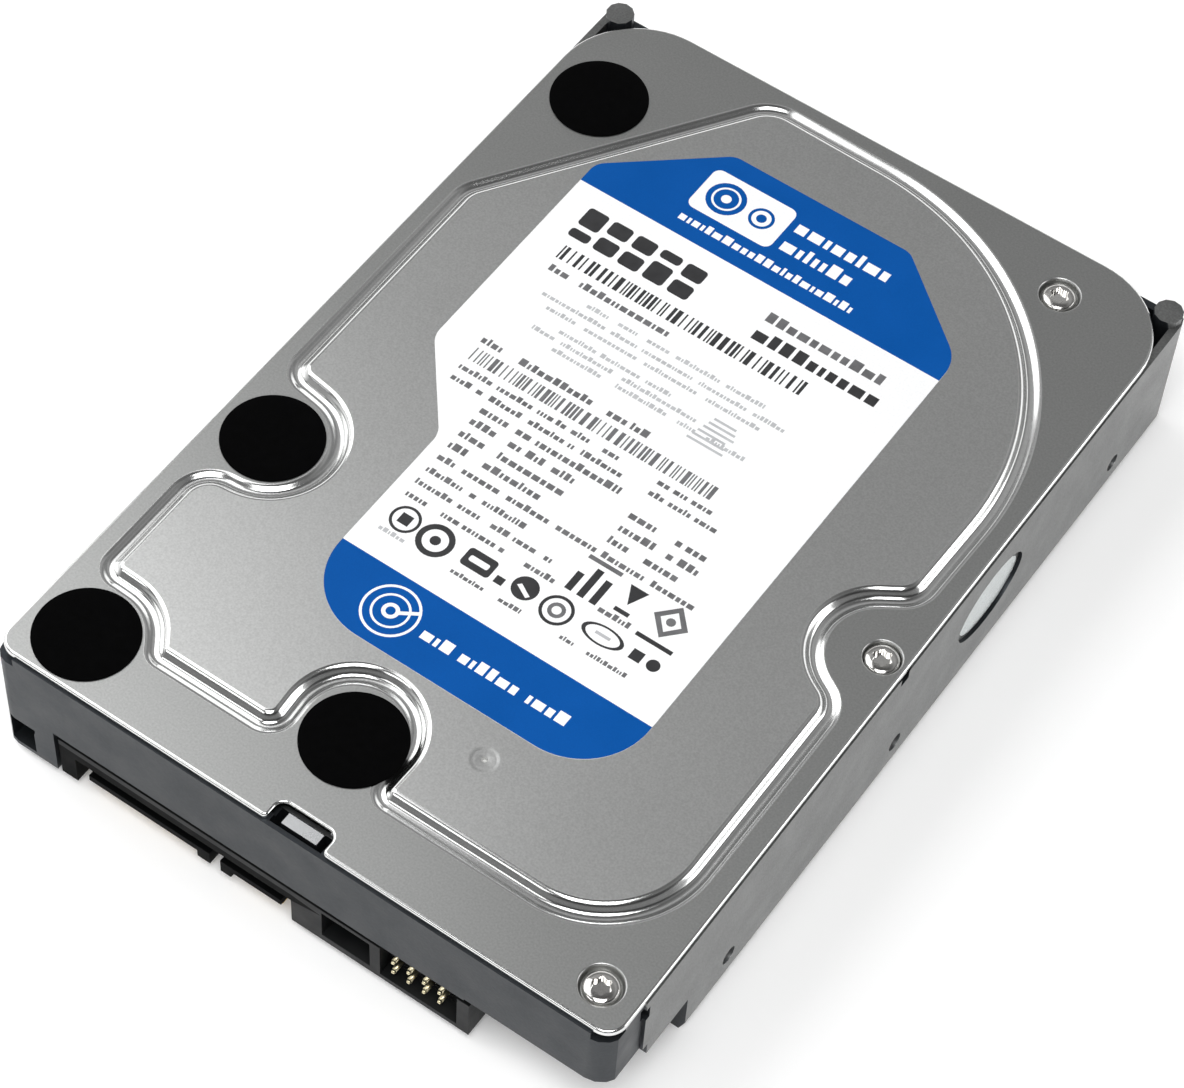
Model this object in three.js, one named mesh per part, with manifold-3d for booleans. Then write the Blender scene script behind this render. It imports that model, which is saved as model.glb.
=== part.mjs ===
// A 3.5-inch hard disk drive as an assembly of separate parts.
// Units are millimetres. The origin is at the bottom centre of the body, +Z points to the cover,
// -Y to the connectors and +X to the jumper side.

import * as THREE from 'three';
import { mergeVertices } from 'three/addons/utils/BufferGeometryUtils.js';
import Module from 'manifold-3d';

const wasm = await Module();
wasm.setup();

// ---------------------------------------------------------------- driving dimensions

const WIDTH = 101.6;
const HALF_W = WIDTH / 2;
const TOLERANCE = 0.1; // how far a facet may lie from its arc

// levels, from the underside to the label
const BOARD_BOTTOM = 1.6;
const BOARD_TOP = 2.8;
const PAN_BOTTOM = 4.2; // underside of the casting below the platters
const BAY_ROOF = 6.6; // underside of the casting above the board
const WELL_FLOOR = 7.5; // inside floor below the platters
const CAVITY_FLOOR = 9;
const STEP = 9; // lower edge of the front wall
const UNDERCUT = 11.2; // lower edge of its outer face, above the connectors
const WALL_TOP = 22.6;
const LEDGE_TOP = 24.2; // raised outer edge of the wall, just below the cover
const RIM_TOP = 23.4;
const FLANGE_BOTTOM = 24.4;
const FLANGE_TOP = 25.2;
const PLATEAU_TOP = 26;
const SHEET = 0.8; // cover thickness
const GROOVE_TOP = 24.7;
const DIMPLE_TOP = 24;
const LABEL_TOP = 26.1;

// spindle and platters
const SPINDLE = [0.3, 22.7];
const PLATTER_R = 47.5;
const PLATTER_T = 1.27;
const LOWER_PLATTER = 12.4;
const UPPER_PLATTER = 17;
const HUB_R = 12.35;
const SHAFT_R = 2;

// actuator: seen from its pivot, with the heads parked on the ramp
const PIVOT = [20, -28];
const PARK_DEG = 170.5; // direction of the arms at rest
const COIL_DEG = 144; // direction of the coil, from the arms
const HEAD_REACH = 47;
const ARM_LEVELS = [10.2, 14.85, 19.5];
const ARM_T = 1;
const COIL_Z = [14.2, 16.6];
const YOKE_SECTOR = [258, 334]; // directions that the magnets cover, in degrees
const YOKE_R = [13.5, 30];

// screws in the cover, the first four of them hidden by discs
const COVER_SCREWS = [
  [-42.2, 56.2],
  [-41.5, -24.1],
  [-41.4, -64.9],
  [-2.5, -56.9],
  [33.9, 64.5],
  [46.9, -4.1],
  [44.8, -67.5],
];
const COVER_DISCS = [
  [-41.2, 55.2],
  [-41.5, -24.1],
  [-41.4, -64.9],
  [-2.5, -56.9],
];
const BOARD_SCREWS = [
  [-38.5, -48],
  [37.5, -46],
  [-38.5, 7],
  [37.5, -3],
];

// threaded mounting holes of the standard pattern, 6-32 UNC
const SIDE_HOLE_Y = [-45, -3.4, 56.6];
const SIDE_HOLE_Z = 6.35;
const BOTTOM_HOLE_X = 47.62;
const BOTTOM_HOLE_Y = [-32.22, 12.23, 43.98];
const MOUNT_HOLE_R = 1.45;
const MOUNT_HOLE_DEPTH = 4.5;

// Closed outlines that run round circles like a belt: x, y and radius, counter-clockwise.
// A negative radius is a circle that the outline passes on its outer side.
const FRONT_PEGS = [
  [-43.3, -10.7, 3],
  [-41.8, -24, -9],
  [-41.3, -38.6, 5],
  [-43.8, -53, 2.5],
  [-41.4, -64.9, -9.3],
  [-30.9, -60.2, 2],
  [-14.8, -59.2, 3],
  [-3.5, -55.8, -8.6],
  [7, -60, 2.5],
  [31.9, -47.5, 15],
];
const SEAL_PEGS = [
  ...FRONT_PEGS,
  [41.9, -17.2, 5],
  [46.9, -4, -7.2],
  [41.9, 9.4, 5],
  [SPINDLE[0], SPINDLE[1], 46.6],
  [-15.9, 63.3, 6],
  [SPINDLE[0], SPINDLE[1], 46.6],
];
// middle line of the stamped groove in the cover
const GROOVE_PEGS = [
  [-43.3, -10.7, 3.3],
  [-41.8, -24, -9.6],
  [-41.3, -38.6, 5],
  [-43.8, -53, 2.5],
  [-41.4, -64.9, -9.3],
  [-30.9, -60.2, 2],
  [-14.8, -59.2, 3],
  [-3.5, -55.8, -8.5],
  [7, -60, 2.1],
  [30.1, -46.1, 16],
  [41.1, -17.2, 5],
  [46.9, -4, -9.35],
  [41.1, 9.4, 5],
  [0, 22.9, 46.4],
  [-16, 63.2, 6.4],
  [-41.3, 27.1, 5.35],
];
const COVER_PEGS = [
  [-47.6, -70.1, 3],
  [47.6, -70.1, 3],
  [36.6, 59.4, 14],
  [-36.6, 59.4, 14],
];
const LABEL_PEGS = [
  [-29.9, 5, 4],
  [-27, -11.5, -4],
  [-12, -32.9, 11],
  [17.4, -32.9, 11],
  [22.4, 41.6, 6],
  [11.5, 54.4, 3],
  [-17, 54.4, 3],
  [-30.9, 42.4, 3],
];

// ---------------------------------------------------------------- geometry helpers

const radians = (degrees) => (degrees * Math.PI) / 180;

// Points along a belt round the pegs, moved outwards by offset.
function beltPath(pegs, offset = 0, tolerance = TOLERANCE) {
  const count = pegs.length;
  const normals = pegs.map(([x0, y0, r0], i) => {
    const [x1, y1, r1] = pegs[(i + 1) % count];
    const length = Math.hypot(x1 - x0, y1 - y0);
    return Math.atan2(y1 - y0, x1 - x0) - Math.asin((r1 - r0) / length) - Math.PI / 2;
  });
  const points = [];
  pegs.forEach(([x, y, r], i) => {
    const radius = r + offset;
    const from = normals[(i + count - 1) % count];
    let turn = normals[i] - from;
    while (turn > Math.PI) turn -= 2 * Math.PI;
    while (turn < -Math.PI) turn += 2 * Math.PI;
    if (turn * r < 0) turn += Math.sign(r) * 2 * Math.PI;
    const step = 2 * Math.acos(1 - tolerance / Math.max(Math.abs(radius), 2 * tolerance));
    const steps = Math.max(1, Math.ceil(Math.abs(turn) / step));
    for (let k = 0; k <= steps; k++) {
      const angle = from + (turn * k) / steps;
      points.push(new THREE.Vector2(x + radius * Math.cos(angle), y + radius * Math.sin(angle)));
    }
  });
  return points;
}

function circlePath(x, y, r, tolerance = TOLERANCE) {
  const count = Math.max(10, Math.ceil(Math.PI / Math.acos(1 - tolerance / r)));
  return Array.from({ length: count }, (_, k) => {
    const angle = (2 * Math.PI * k) / count;
    return new THREE.Vector2(x + r * Math.cos(angle), y + r * Math.sin(angle));
  });
}

// Outline of a ring sector about the origin, in degrees.
function sectorPath(r0, r1, from, to) {
  const arc = (r, a, b) => {
    const steps = Math.max(2, Math.ceil(Math.abs(b - a) / 8));
    return Array.from({ length: steps + 1 }, (_, k) => {
      const angle = radians(a + ((b - a) * k) / steps);
      return new THREE.Vector2(r * Math.cos(angle), r * Math.sin(angle));
    });
  };
  return [...arc(r1, from, to), ...arc(r0, to, from)];
}

const polygon = (...points) => points.map(([x, y]) => new THREE.Vector2(x, y));

// A flat outline raised from z0 to z1.
function prism(outline, z0, z1, holes = []) {
  const shape = new THREE.Shape(outline);
  shape.holes = holes.map((points) => new THREE.Path(points));
  const geometry = new THREE.ExtrudeGeometry(shape, { depth: z1 - z0, bevelEnabled: false });
  return geometry.translate(0, 0, z0);
}

function block(x0, x1, y0, y1, z0, z1) {
  const geometry = new THREE.BoxGeometry(x1 - x0, y1 - y0, z1 - z0);
  return geometry.translate((x0 + x1) / 2, (y0 + y1) / 2, (z0 + z1) / 2);
}

const disc = (x, y, r, z0, z1) => prism(circlePath(x, y, r), z0, z1);

// A cylinder along X, for the side holes.
function crossHole(x0, x1, y, z, r) {
  const geometry = new THREE.CylinderGeometry(r, r, Math.abs(x1 - x0), 14);
  return geometry.rotateZ(Math.PI / 2).translate((x0 + x1) / 2, y, z);
}

// A turned part about +Z from a profile of [radius, z] pairs.
function turned(profile, segments, x = 0, y = 0) {
  const points = profile.map(([r, z]) => new THREE.Vector2(r, z));
  const geometry = new THREE.LatheGeometry(points, segments);
  return geometry.rotateX(Math.PI / 2).translate(x, y, 0);
}

function solid(geometry) {
  const bare = geometry.clone();
  bare.deleteAttribute('normal');
  bare.deleteAttribute('uv');
  const merged = mergeVertices(bare, 1e-4);
  return new wasm.Manifold(new wasm.Mesh({
    numProp: 3,
    vertProperties: new Float32Array(merged.attributes.position.array),
    triVerts: new Uint32Array(merged.index.array),
  }));
}

const asSolid = (piece) => (piece.isBufferGeometry ? solid(piece) : piece);
const join = (...pieces) => pieces.map(asSolid).reduce((a, b) => a.add(b));
const cut = (base, ...tools) => tools.map(asSolid).reduce((a, b) => a.subtract(b), asSolid(base));

function geometryOf(body) {
  const { numProp, vertProperties, triVerts } = body.getMesh();
  const positions = [];
  for (let i = 0; i < vertProperties.length; i += numProp) {
    positions.push(vertProperties[i], vertProperties[i + 1], vertProperties[i + 2]);
  }
  const geometry = new THREE.BufferGeometry();
  geometry.setAttribute('position', new THREE.Float32BufferAttribute(positions, 3));
  geometry.setIndex(Array.from(triVerts));
  return geometry;
}

// ---------------------------------------------------------------- materials

const surface = (color, roughness, metalness) =>
  new THREE.MeshStandardMaterial({ color, roughness, metalness });

const MATERIALS = {
  casting: surface(0x5e6468, 0.5, 0.75),
  cover: surface(0xa9a9a7, 0.38, 0.9),
  black: surface(0x0d0d0f, 0.7, 0),
  label: surface(0xeeeeea, 0.45, 0),
  foil: surface(0xc9cbcb, 0.3, 0.9),
  bright: surface(0xd2d3d2, 0.22, 1),
  board: surface(0x12603a, 0.45, 0),
  foam: surface(0x1b1b1d, 0.95, 0),
  plastic: surface(0x121215, 0.5, 0),
  gold: surface(0xd9b45a, 0.25, 1),
  steel: surface(0x8f9294, 0.35, 1),
  nickel: surface(0xb9bbb8, 0.3, 1),
  copper: surface(0xb06a35, 0.35, 0.9),
  magnet: surface(0x7d8083, 0.3, 1),
  platter: surface(0xdfe1e2, 0.04, 1),
  aluminium: surface(0xb8bbbd, 0.35, 0.95),
  rubber: surface(0x202022, 0.85, 0),
  ramp: surface(0xe3dfd0, 0.5, 0),
  fibre: surface(0xf0f0ec, 0.95, 0),
  polyimide: surface(0xb7702a, 0.4, 0),
};

const drive = new THREE.Group();

function place(name, piece, material, parent = drive) {
  const geometry = piece.isBufferGeometry ? piece : geometryOf(piece);
  const mesh = new THREE.Mesh(geometry, MATERIALS[material]);
  mesh.name = name;
  parent.add(mesh);
  return mesh;
}

// ---------------------------------------------------------------- base casting

const BAY_X = 43.9; // inner face of the side rails
const BAY_REAR = 16;
const REAR_RAIL = 69;
const FOOT_X = -41.5; // inner face of the front left foot
const CONNECTOR_RIGHT = 28.7;
const CONNECTOR_REAR = -64.7; // the casting floor starts behind the connector
const CAVITY_CORNER = 45;
const MOTOR_HOLE_R = 15.8;
const POST = [48.4, 71.1];
const POST_R = 2.2;
const POST_TOP = 25.6;

const WALL_PEGS = [
  [-48.6, -71.3, 2.2],
  [46.9, -69.6, 3.9],
  [48.3, 71, 2.5],
  [-48.3, 71, 2.5],
];
const LEDGE_WIDTH = 1.9;

// The raised outer edge of the wall, left out round the seal, the screws and the two front corners.
function wallLedge() {
  const ledge = prism(beltPath(WALL_PEGS), WALL_TOP - 1, LEDGE_TOP, [beltPath(WALL_PEGS, -LEDGE_WIDTH)]);
  const clearances = COVER_SCREWS.map(([x, y]) => disc(x, y, 4.1, WALL_TOP, 30));
  const corners = [block(-60, -47.3, -80, -69.8, WALL_TOP, 30), block(47.3, 60, -80, -69.8, WALL_TOP, 30)];
  const sealSeat = prism(beltPath(SEAL_PEGS, 3.6), WALL_TOP, 30);
  return cut(ledge, sealSeat, ...clearances, ...corners);
}

function castingTop() {
  const wall = prism(beltPath(WALL_PEGS), 0, WALL_TOP);
  const rim = prism(beltPath([
    [-47.2, -68.4, 3],
    [47.2, -68.4, 3],
    [36.4, 59.3, 13.8],
    [-36.4, 59.3, 13.8],
  ]), WALL_TOP - 1, RIM_TOP);
  const tabPocket = block(-4.4, 4.1, -72.8, -69.9, 19.5, 30);
  const tab = block(-2.7, 3, -72.4, -70.6, 19, FLANGE_TOP - 0.5);
  return join(cut(join(wall, rim, wallLedge()), tabPocket), tab);
}

// The open pocket behind each rounded rear corner of the cover, with its post.
function rearCorner(side) {
  const outline = polygon([37, 75], [37, 72.3], [45, 68.6], [49.4, 60.5], [49.6, 60.5], [49.6, 75]);
  const pocket = prism(outline.map((p) => new THREE.Vector2(p.x * side, p.y)), 14, 30);
  const rearWall = block(-60, 60, 72.3, 80, 0, WALL_TOP);
  return {
    pocket: cut(pocket, rearWall),
    post: disc(POST[0] * side, POST[1], POST_R, 10, POST_TOP),
  };
}

function undersideCuts() {
  return [
    block(-BAY_X, BAY_X, -80, BAY_REAR, -1, BAY_ROOF),
    block(-BAY_X, BAY_X, BAY_REAR - 1, REAR_RAIL, -1, PAN_BOTTOM),
    block(FOOT_X, CONNECTOR_RIGHT, -80, CONNECTOR_REAR, -1, STEP),
    block(FOOT_X, CONNECTOR_RIGHT, -80, -71.1, STEP - 1, UNDERCUT),
    block(CONNECTOR_RIGHT - 1, 60, -80, -64.7, -1, 11.6),
    block(CAVITY_CORNER, 60, -65, -55, -1, STEP),
    block(BAY_X - 1, CAVITY_CORNER + 1, -65, -55, -1, BAY_ROOF),
    block(-60, FOOT_X, -80, -66, -1, 2),
    block(-49.5, -45, -80, -68, 2.8, 8.5),
    block(-60, -BAY_X + 1, -66, -58, -1, 0.8),
    block(-34, 34, REAR_RAIL - 1, 80, -1, 2.4),
    block(50.3, 60, -80, -65.8, -1, 30),
    block(49.6, 60, -66.4, -65, 19.8, 22.4),
    sideChamfer(1),
    sideChamfer(-1),
  ];
}

// The slanted lower edge of a long side.
function sideChamfer(side) {
  const corners = [[49.9, -1], [60, -1], [60, 2.4], [HALF_W, 2.4], [49.9, 0]];
  const outline = polygon(...corners.map(([x, z]) => [x * side, z]));
  const slanted = prism(side > 0 ? outline : outline.reverse(), -80, 80);
  return slanted.rotateX(Math.PI / 2);
}

function undersideRibs() {
  const [x, y] = SPINDLE;
  const ring = cut(disc(x, y, 27, 3.2, PAN_BOTTOM + 1), disc(x, y, 25.4, 0, 8));
  const rib = (degrees) => {
    const spoke = block(26, 62, -0.8, 0.8, 3.2, PAN_BOTTOM + 1);
    return spoke.rotateZ(radians(degrees)).translate(x, y, 0);
  };
  const limits = block(-BAY_X, BAY_X, BAY_REAR, REAR_RAIL, 0, PAN_BOTTOM + 1);
  return join(ring, rib(35), rib(90), rib(145)).intersect(solid(limits));
}

function mountingHoles() {
  const holes = [];
  for (const side of [-1, 1]) {
    for (const y of SIDE_HOLE_Y) {
      holes.push(crossHole(side * (HALF_W - MOUNT_HOLE_DEPTH), side * 60, y, SIDE_HOLE_Z, MOUNT_HOLE_R));
    }
    for (const y of BOTTOM_HOLE_Y) {
      holes.push(disc(side * BOTTOM_HOLE_X, y, MOUNT_HOLE_R, -1, MOUNT_HOLE_DEPTH));
    }
  }
  return holes;
}

// The oval recess and port in the right-hand wall, which the foil seal covers.
const PORT = { y: 20.3, z: 14.2, length: 17, height: 11, depth: 0.6 };

function portOval(grow) {
  return Array.from({ length: 28 }, (_, k) => {
    const angle = (2 * Math.PI * k) / 28;
    const y = PORT.y + (PORT.length / 2 + grow) * Math.cos(angle);
    return new THREE.Vector2(y, PORT.z + (PORT.height / 2 + grow) * Math.sin(angle));
  });
}

// The oval as a slab across X, from x0 to x1.
function portCut(grow, x0, x1) {
  const toSide = new THREE.Matrix4().set(0, 0, 1, x0, 1, 0, 0, 0, 0, 1, 0, 0, 0, 0, 0, 1);
  return prism(portOval(grow), 0, x1 - x0).applyMatrix4(toSide);
}

function baseCasting() {
  const [sx, sy] = SPINDLE;
  const corners = [rearCorner(1), rearCorner(-1)];
  const cavity = prism(beltPath(SEAL_PEGS, 1.8), CAVITY_FLOOR, 40);
  const well = disc(sx, sy, 48.4, WELL_FLOOR, 40);
  const screwHoles = COVER_SCREWS.map(([x, y]) => disc(x, y, 1.55, 15.5, 40));
  const shell = cut(
    castingTop(),
    cavity,
    well,
    ...corners.map((corner) => corner.pocket),
    ...undersideCuts(),
    ...mountingHoles(),
    ...screwHoles,
    portCut(0, HALF_W - PORT.depth, HALF_W + 5),
  );
  const bosses = BOARD_SCREWS.map(([x, y]) => disc(x, y, 3, BOARD_TOP, BAY_ROOF + 1));
  const footFront = block(-45.2, FOOT_X, -73.5, -71.4, 2, BAY_ROOF + 1);
  const whole = join(shell, footFront, undersideRibs(), ...bosses, ...corners.map((corner) => corner.post));
  return cut(
    whole,
    disc(sx, sy, MOTOR_HOLE_R, 0, CAVITY_FLOOR + 1),
    disc(PIVOT[0], PIVOT[1], 1.8, 7, CAVITY_FLOOR + 1),
    ...yokeEars().map(([x, y]) => disc(x, y, 1.4, 7, CAVITY_FLOOR + 1)),
    ...BOARD_SCREWS.map(([x, y]) => disc(x, y, 1.3, 0, 6)),
    block(-17, -8, -46.3, -42.3, 6, CAVITY_FLOOR + 1),
  );
}

// ---------------------------------------------------------------- cover, gasket, label and discs

const NOTCH = [-4.7, 4.4, -69.7]; // left, right and inner edge of the notch in the front edge

function topCover() {
  const flange = prism(beltPath(COVER_PEGS), FLANGE_BOTTOM, FLANGE_TOP);
  const bead = prism(beltPath(GROOVE_PEGS, 1.5), GROOVE_TOP - SHEET, FLANGE_TOP);
  const raised = prism(beltPath(GROOVE_PEGS, -0.7), FLANGE_BOTTOM, PLATEAU_TOP);
  const groove = prism(beltPath(GROOVE_PEGS, 0.9), GROOVE_TOP, 40, [beltPath(GROOVE_PEGS, -0.7)]);
  const underside = prism(beltPath(GROOVE_PEGS, -1.6), 20, PLATEAU_TOP - SHEET);
  const dimples = COVER_SCREWS.map(([x, y]) => disc(x, y, 3.6, RIM_TOP, FLANGE_TOP));
  const dimpleCuts = COVER_SCREWS.map(([x, y]) => disc(x, y, 3.1, DIMPLE_TOP, 40));
  const screwHoles = COVER_SCREWS.map(([x, y]) => disc(x, y, 1.8, 20, 40));
  const notch = block(NOTCH[0], NOTCH[1], -80, NOTCH[2], 20, 40);
  const breather = disc(13.4, -49.5, 0.6, 20, 40);
  const limits = solid(prism(beltPath(COVER_PEGS), 20, 40));
  const blank = join(flange, bead, raised, ...dimples).intersect(limits);
  return cut(blank, groove, underside, ...dimpleCuts, ...screwHoles, notch, breather);
}

function gasket() {
  return prism(beltPath(SEAL_PEGS, 3.3), RIM_TOP, FLANGE_BOTTOM, [beltPath(SEAL_PEGS, 2.4)]);
}

// A pan-head screw whose head rests on z, with a round socket.
function panScrew(x, y, z, { head, height, shank, length, up = 1, segments = 12 }) {
  const profile = [
    [0, -length],
    [shank, -length],
    [shank, 0],
    [head, 0],
    [head * 0.85, height],
    [head * 0.42, height],
    [head * 0.42, height * 0.4],
    [0, height * 0.4],
  ];
  const sized = profile.map(([r, h]) => [r, z + up * h]);
  return turned(up > 0 ? sized : sized.reverse(), segments, x, y);
}

function buildCover() {
  place('top_cover', topCover(), 'cover');
  place('cover_gasket', gasket(), 'rubber');
  COVER_SCREWS.forEach(([x, y], i) => {
    const size = { head: 2.7, height: 1.1, shank: 1.2, length: 7.5 };
    place(`cover_screw_${i + 1}`, panScrew(x, y, DIMPLE_TOP, size), 'bright');
  });
  COVER_DISCS.forEach(([x, y], i) => {
    place(`cover_disc_${i + 1}`, disc(x, y, 7.5, FLANGE_TOP, FLANGE_TOP + 0.3), 'black');
  });
  place('product_label', prism(beltPath(LABEL_PEGS), PLATEAU_TOP, LABEL_TOP), 'label');
  const foil = portCut(-0.9, HALF_W - PORT.depth, HALF_W - PORT.depth + 0.2);
  place('side_port_seal', foil, 'foil');
  place('breather_filter', disc(13.4, -49.5, 4.2, 23.3, PLATEAU_TOP - SHEET), 'black');
}

// ---------------------------------------------------------------- circuit board and connector

const BOARD_X = 43.4;
const BOARD_FRONT = -64.5;
const BOARD_REAR = 13;

function circuitBoard() {
  const outline = beltPath([
    [-BOARD_X + 2, BOARD_FRONT + 2, 2],
    [CONNECTOR_RIGHT - 2, BOARD_FRONT + 2, 2],
    [BOARD_X - 2, -51.5, 2],
    [BOARD_X - 2, 1, 2],
    [BOARD_X - 16, BOARD_REAR - 2, 2],
    [-BOARD_X + 2, BOARD_REAR - 2, 2],
  ], 0);
  const blank = prism(outline, BOARD_BOTTOM, BOARD_TOP);
  const motorNotch = disc(SPINDLE[0], SPINDLE[1], 20.5, 0, 5);
  const holes = BOARD_SCREWS.map(([x, y]) => disc(x, y, 1.35, 0, 5));
  const chips = [
    block(-9, 11, -36, -16, BOARD_TOP - 0.3, 4.3),
    block(-30, -20, -38, -20, BOARD_TOP - 0.3, 4),
    block(20, 29, -28, -17, BOARD_TOP - 0.3, 4.1),
    block(17, 24, -50, -43, BOARD_TOP - 0.3, 4.6),
  ];
  return join(cut(blank, motorNotch, ...holes), ...chips);
}

const SHELL_FRONT = -73.2; // front face of the connector housing
const TONGUE_FRONT = -73;
const LIP_REAR = -71.4; // back of the raised front lip
const LIP_TOP = 9.8;
const TONGUE_Z = [3.5, 4.75];
const POWER_TONGUE = [-36.2, -15.2];
const SIGNAL_TONGUE = [-13.4, -3];
const PIN_CENTRE_X = 19.45;
const PIN_CENTRE_Z = 5.87;
const PIN_PITCH = 2.54;
const PIN_HALF = 0.32;
const PIN_FRONT = -72.9;
const PIN_BASE = -70.6; // front of the carrier and back of the bay around it
const CONTACT_PITCH = 1.27;

function connectorHousing() {
  const [low, high] = TONGUE_Z;
  const parts = join(
    block(-41, 28.4, -66, -64.9, BOARD_TOP, STEP),
    block(-41, 28.4, -65, -60.5, BOARD_TOP, 6.3),
    block(-41, -0.9, SHELL_FRONT, -66, 7.1, 8.7),
    block(-41, 28.4, SHELL_FRONT, LIP_REAR, 7.1, LIP_TOP),
    block(-41, -38.2, SHELL_FRONT, -66, 1.6, 8.7),
    block(POWER_TONGUE[0], POWER_TONGUE[1], TONGUE_FRONT, -65, low, high),
    block(-17.4, POWER_TONGUE[1], TONGUE_FRONT, -66, 2.1, high),
    block(SIGNAL_TONGUE[0], SIGNAL_TONGUE[1], TONGUE_FRONT, -65, low, high),
    block(SIGNAL_TONGUE[0], -11.6, TONGUE_FRONT, -66, 2.1, high),
    block(-1.1, 28.4, SHELL_FRONT, -66, 1.8, 8.7),
  );
  return cut(
    parts,
    block(4.1, 12.1, -80, -67, 3.2, 8.2),
    block(4.1, 12.1, -80, LIP_REAR + 1, 8, 9),
    block(13.8, 26.4, -80, PIN_BASE, 2.8, 8.2),
    block(13.8, 26.4, -80, LIP_REAR + 1, 8, 12),
    block(-36.4, -17.4, -67, -60, 2, low),
    block(-11.6, -2.8, -67, -60, 2, low),
    block(14.7, 24.2, -80, -60, 3.8, 7.9),
  );
}

// Contact strips under a tongue, joined by a bar behind the housing.
function contactComb(centre, count) {
  const span = ((count - 1) * CONTACT_PITCH) / 2;
  const strips = Array.from({ length: count }, (_, i) => {
    const x = centre - span + i * CONTACT_PITCH;
    return block(x - 0.4, x + 0.4, TONGUE_FRONT + 0.4, -59.8, 3.25, 3.5);
  });
  return join(block(centre - span - 0.4, centre + span + 0.4, -60.2, -59.4, 3.1, 3.6), ...strips);
}

function jumperPins() {
  const pins = [];
  for (const column of [-1.5, -0.5, 0.5, 1.5]) {
    for (const row of [-0.5, 0.5]) {
      const x = PIN_CENTRE_X + column * PIN_PITCH;
      const z = PIN_CENTRE_Z + row * PIN_PITCH;
      pins.push(block(x - PIN_HALF, x + PIN_HALF, PIN_FRONT, -66, z - PIN_HALF, z + PIN_HALF));
    }
  }
  return join(block(15, 23.9, PIN_BASE, -65.2, 4.1, 7.6), ...pins);
}

function buildBoard() {
  place('circuit_board', circuitBoard(), 'board');
  place('board_insulator', prism(beltPath([
    [-32, -40, 2],
    [28, -40, 2],
    [28, -6, 2],
    [-32, -6, 2],
  ]), 5.6, 6.4), 'foam');
  BOARD_SCREWS.forEach(([x, y], i) => {
    const size = { head: 2.4, height: 1, shank: 1, length: 3.6, up: -1 };
    place(`board_screw_${i + 1}`, panScrew(x, y, BOARD_BOTTOM, size), 'bright');
  });
  place('connector_housing', connectorHousing(), 'plastic');
  place('power_contacts', contactComb(-26.9, 15), 'gold');
  place('signal_contacts', contactComb(-7.2, 7), 'gold');
  place('jumper_pins', jumperPins(), 'gold');
}

// ---------------------------------------------------------------- spindle motor and platters

const MOTOR_SEGMENTS = 30;
const PLATTER_SEGMENTS = 60;

function statorPath() {
  const teeth = 9;
  const points = [];
  for (let i = 0; i < teeth; i++) {
    const centre = (360 / teeth) * i;
    const half = [[12, 15], [10.8, 15], [10.6, 8], [7, 12]];
    const tooth = [...half.map(([r, spread]) => [r, -spread]).reverse(), [12, 0], ...half];
    for (const [r, spread] of tooth) {
      const angle = radians(centre + spread);
      points.push(new THREE.Vector2(r * Math.cos(angle), r * Math.sin(angle)));
    }
  }
  return points;
}

function ring(r0, r1, z0, z1, segments) {
  return turned([[r0, z0], [r1, z0], [r1, z1], [r0, z1], [r0, z0]], segments);
}

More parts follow.
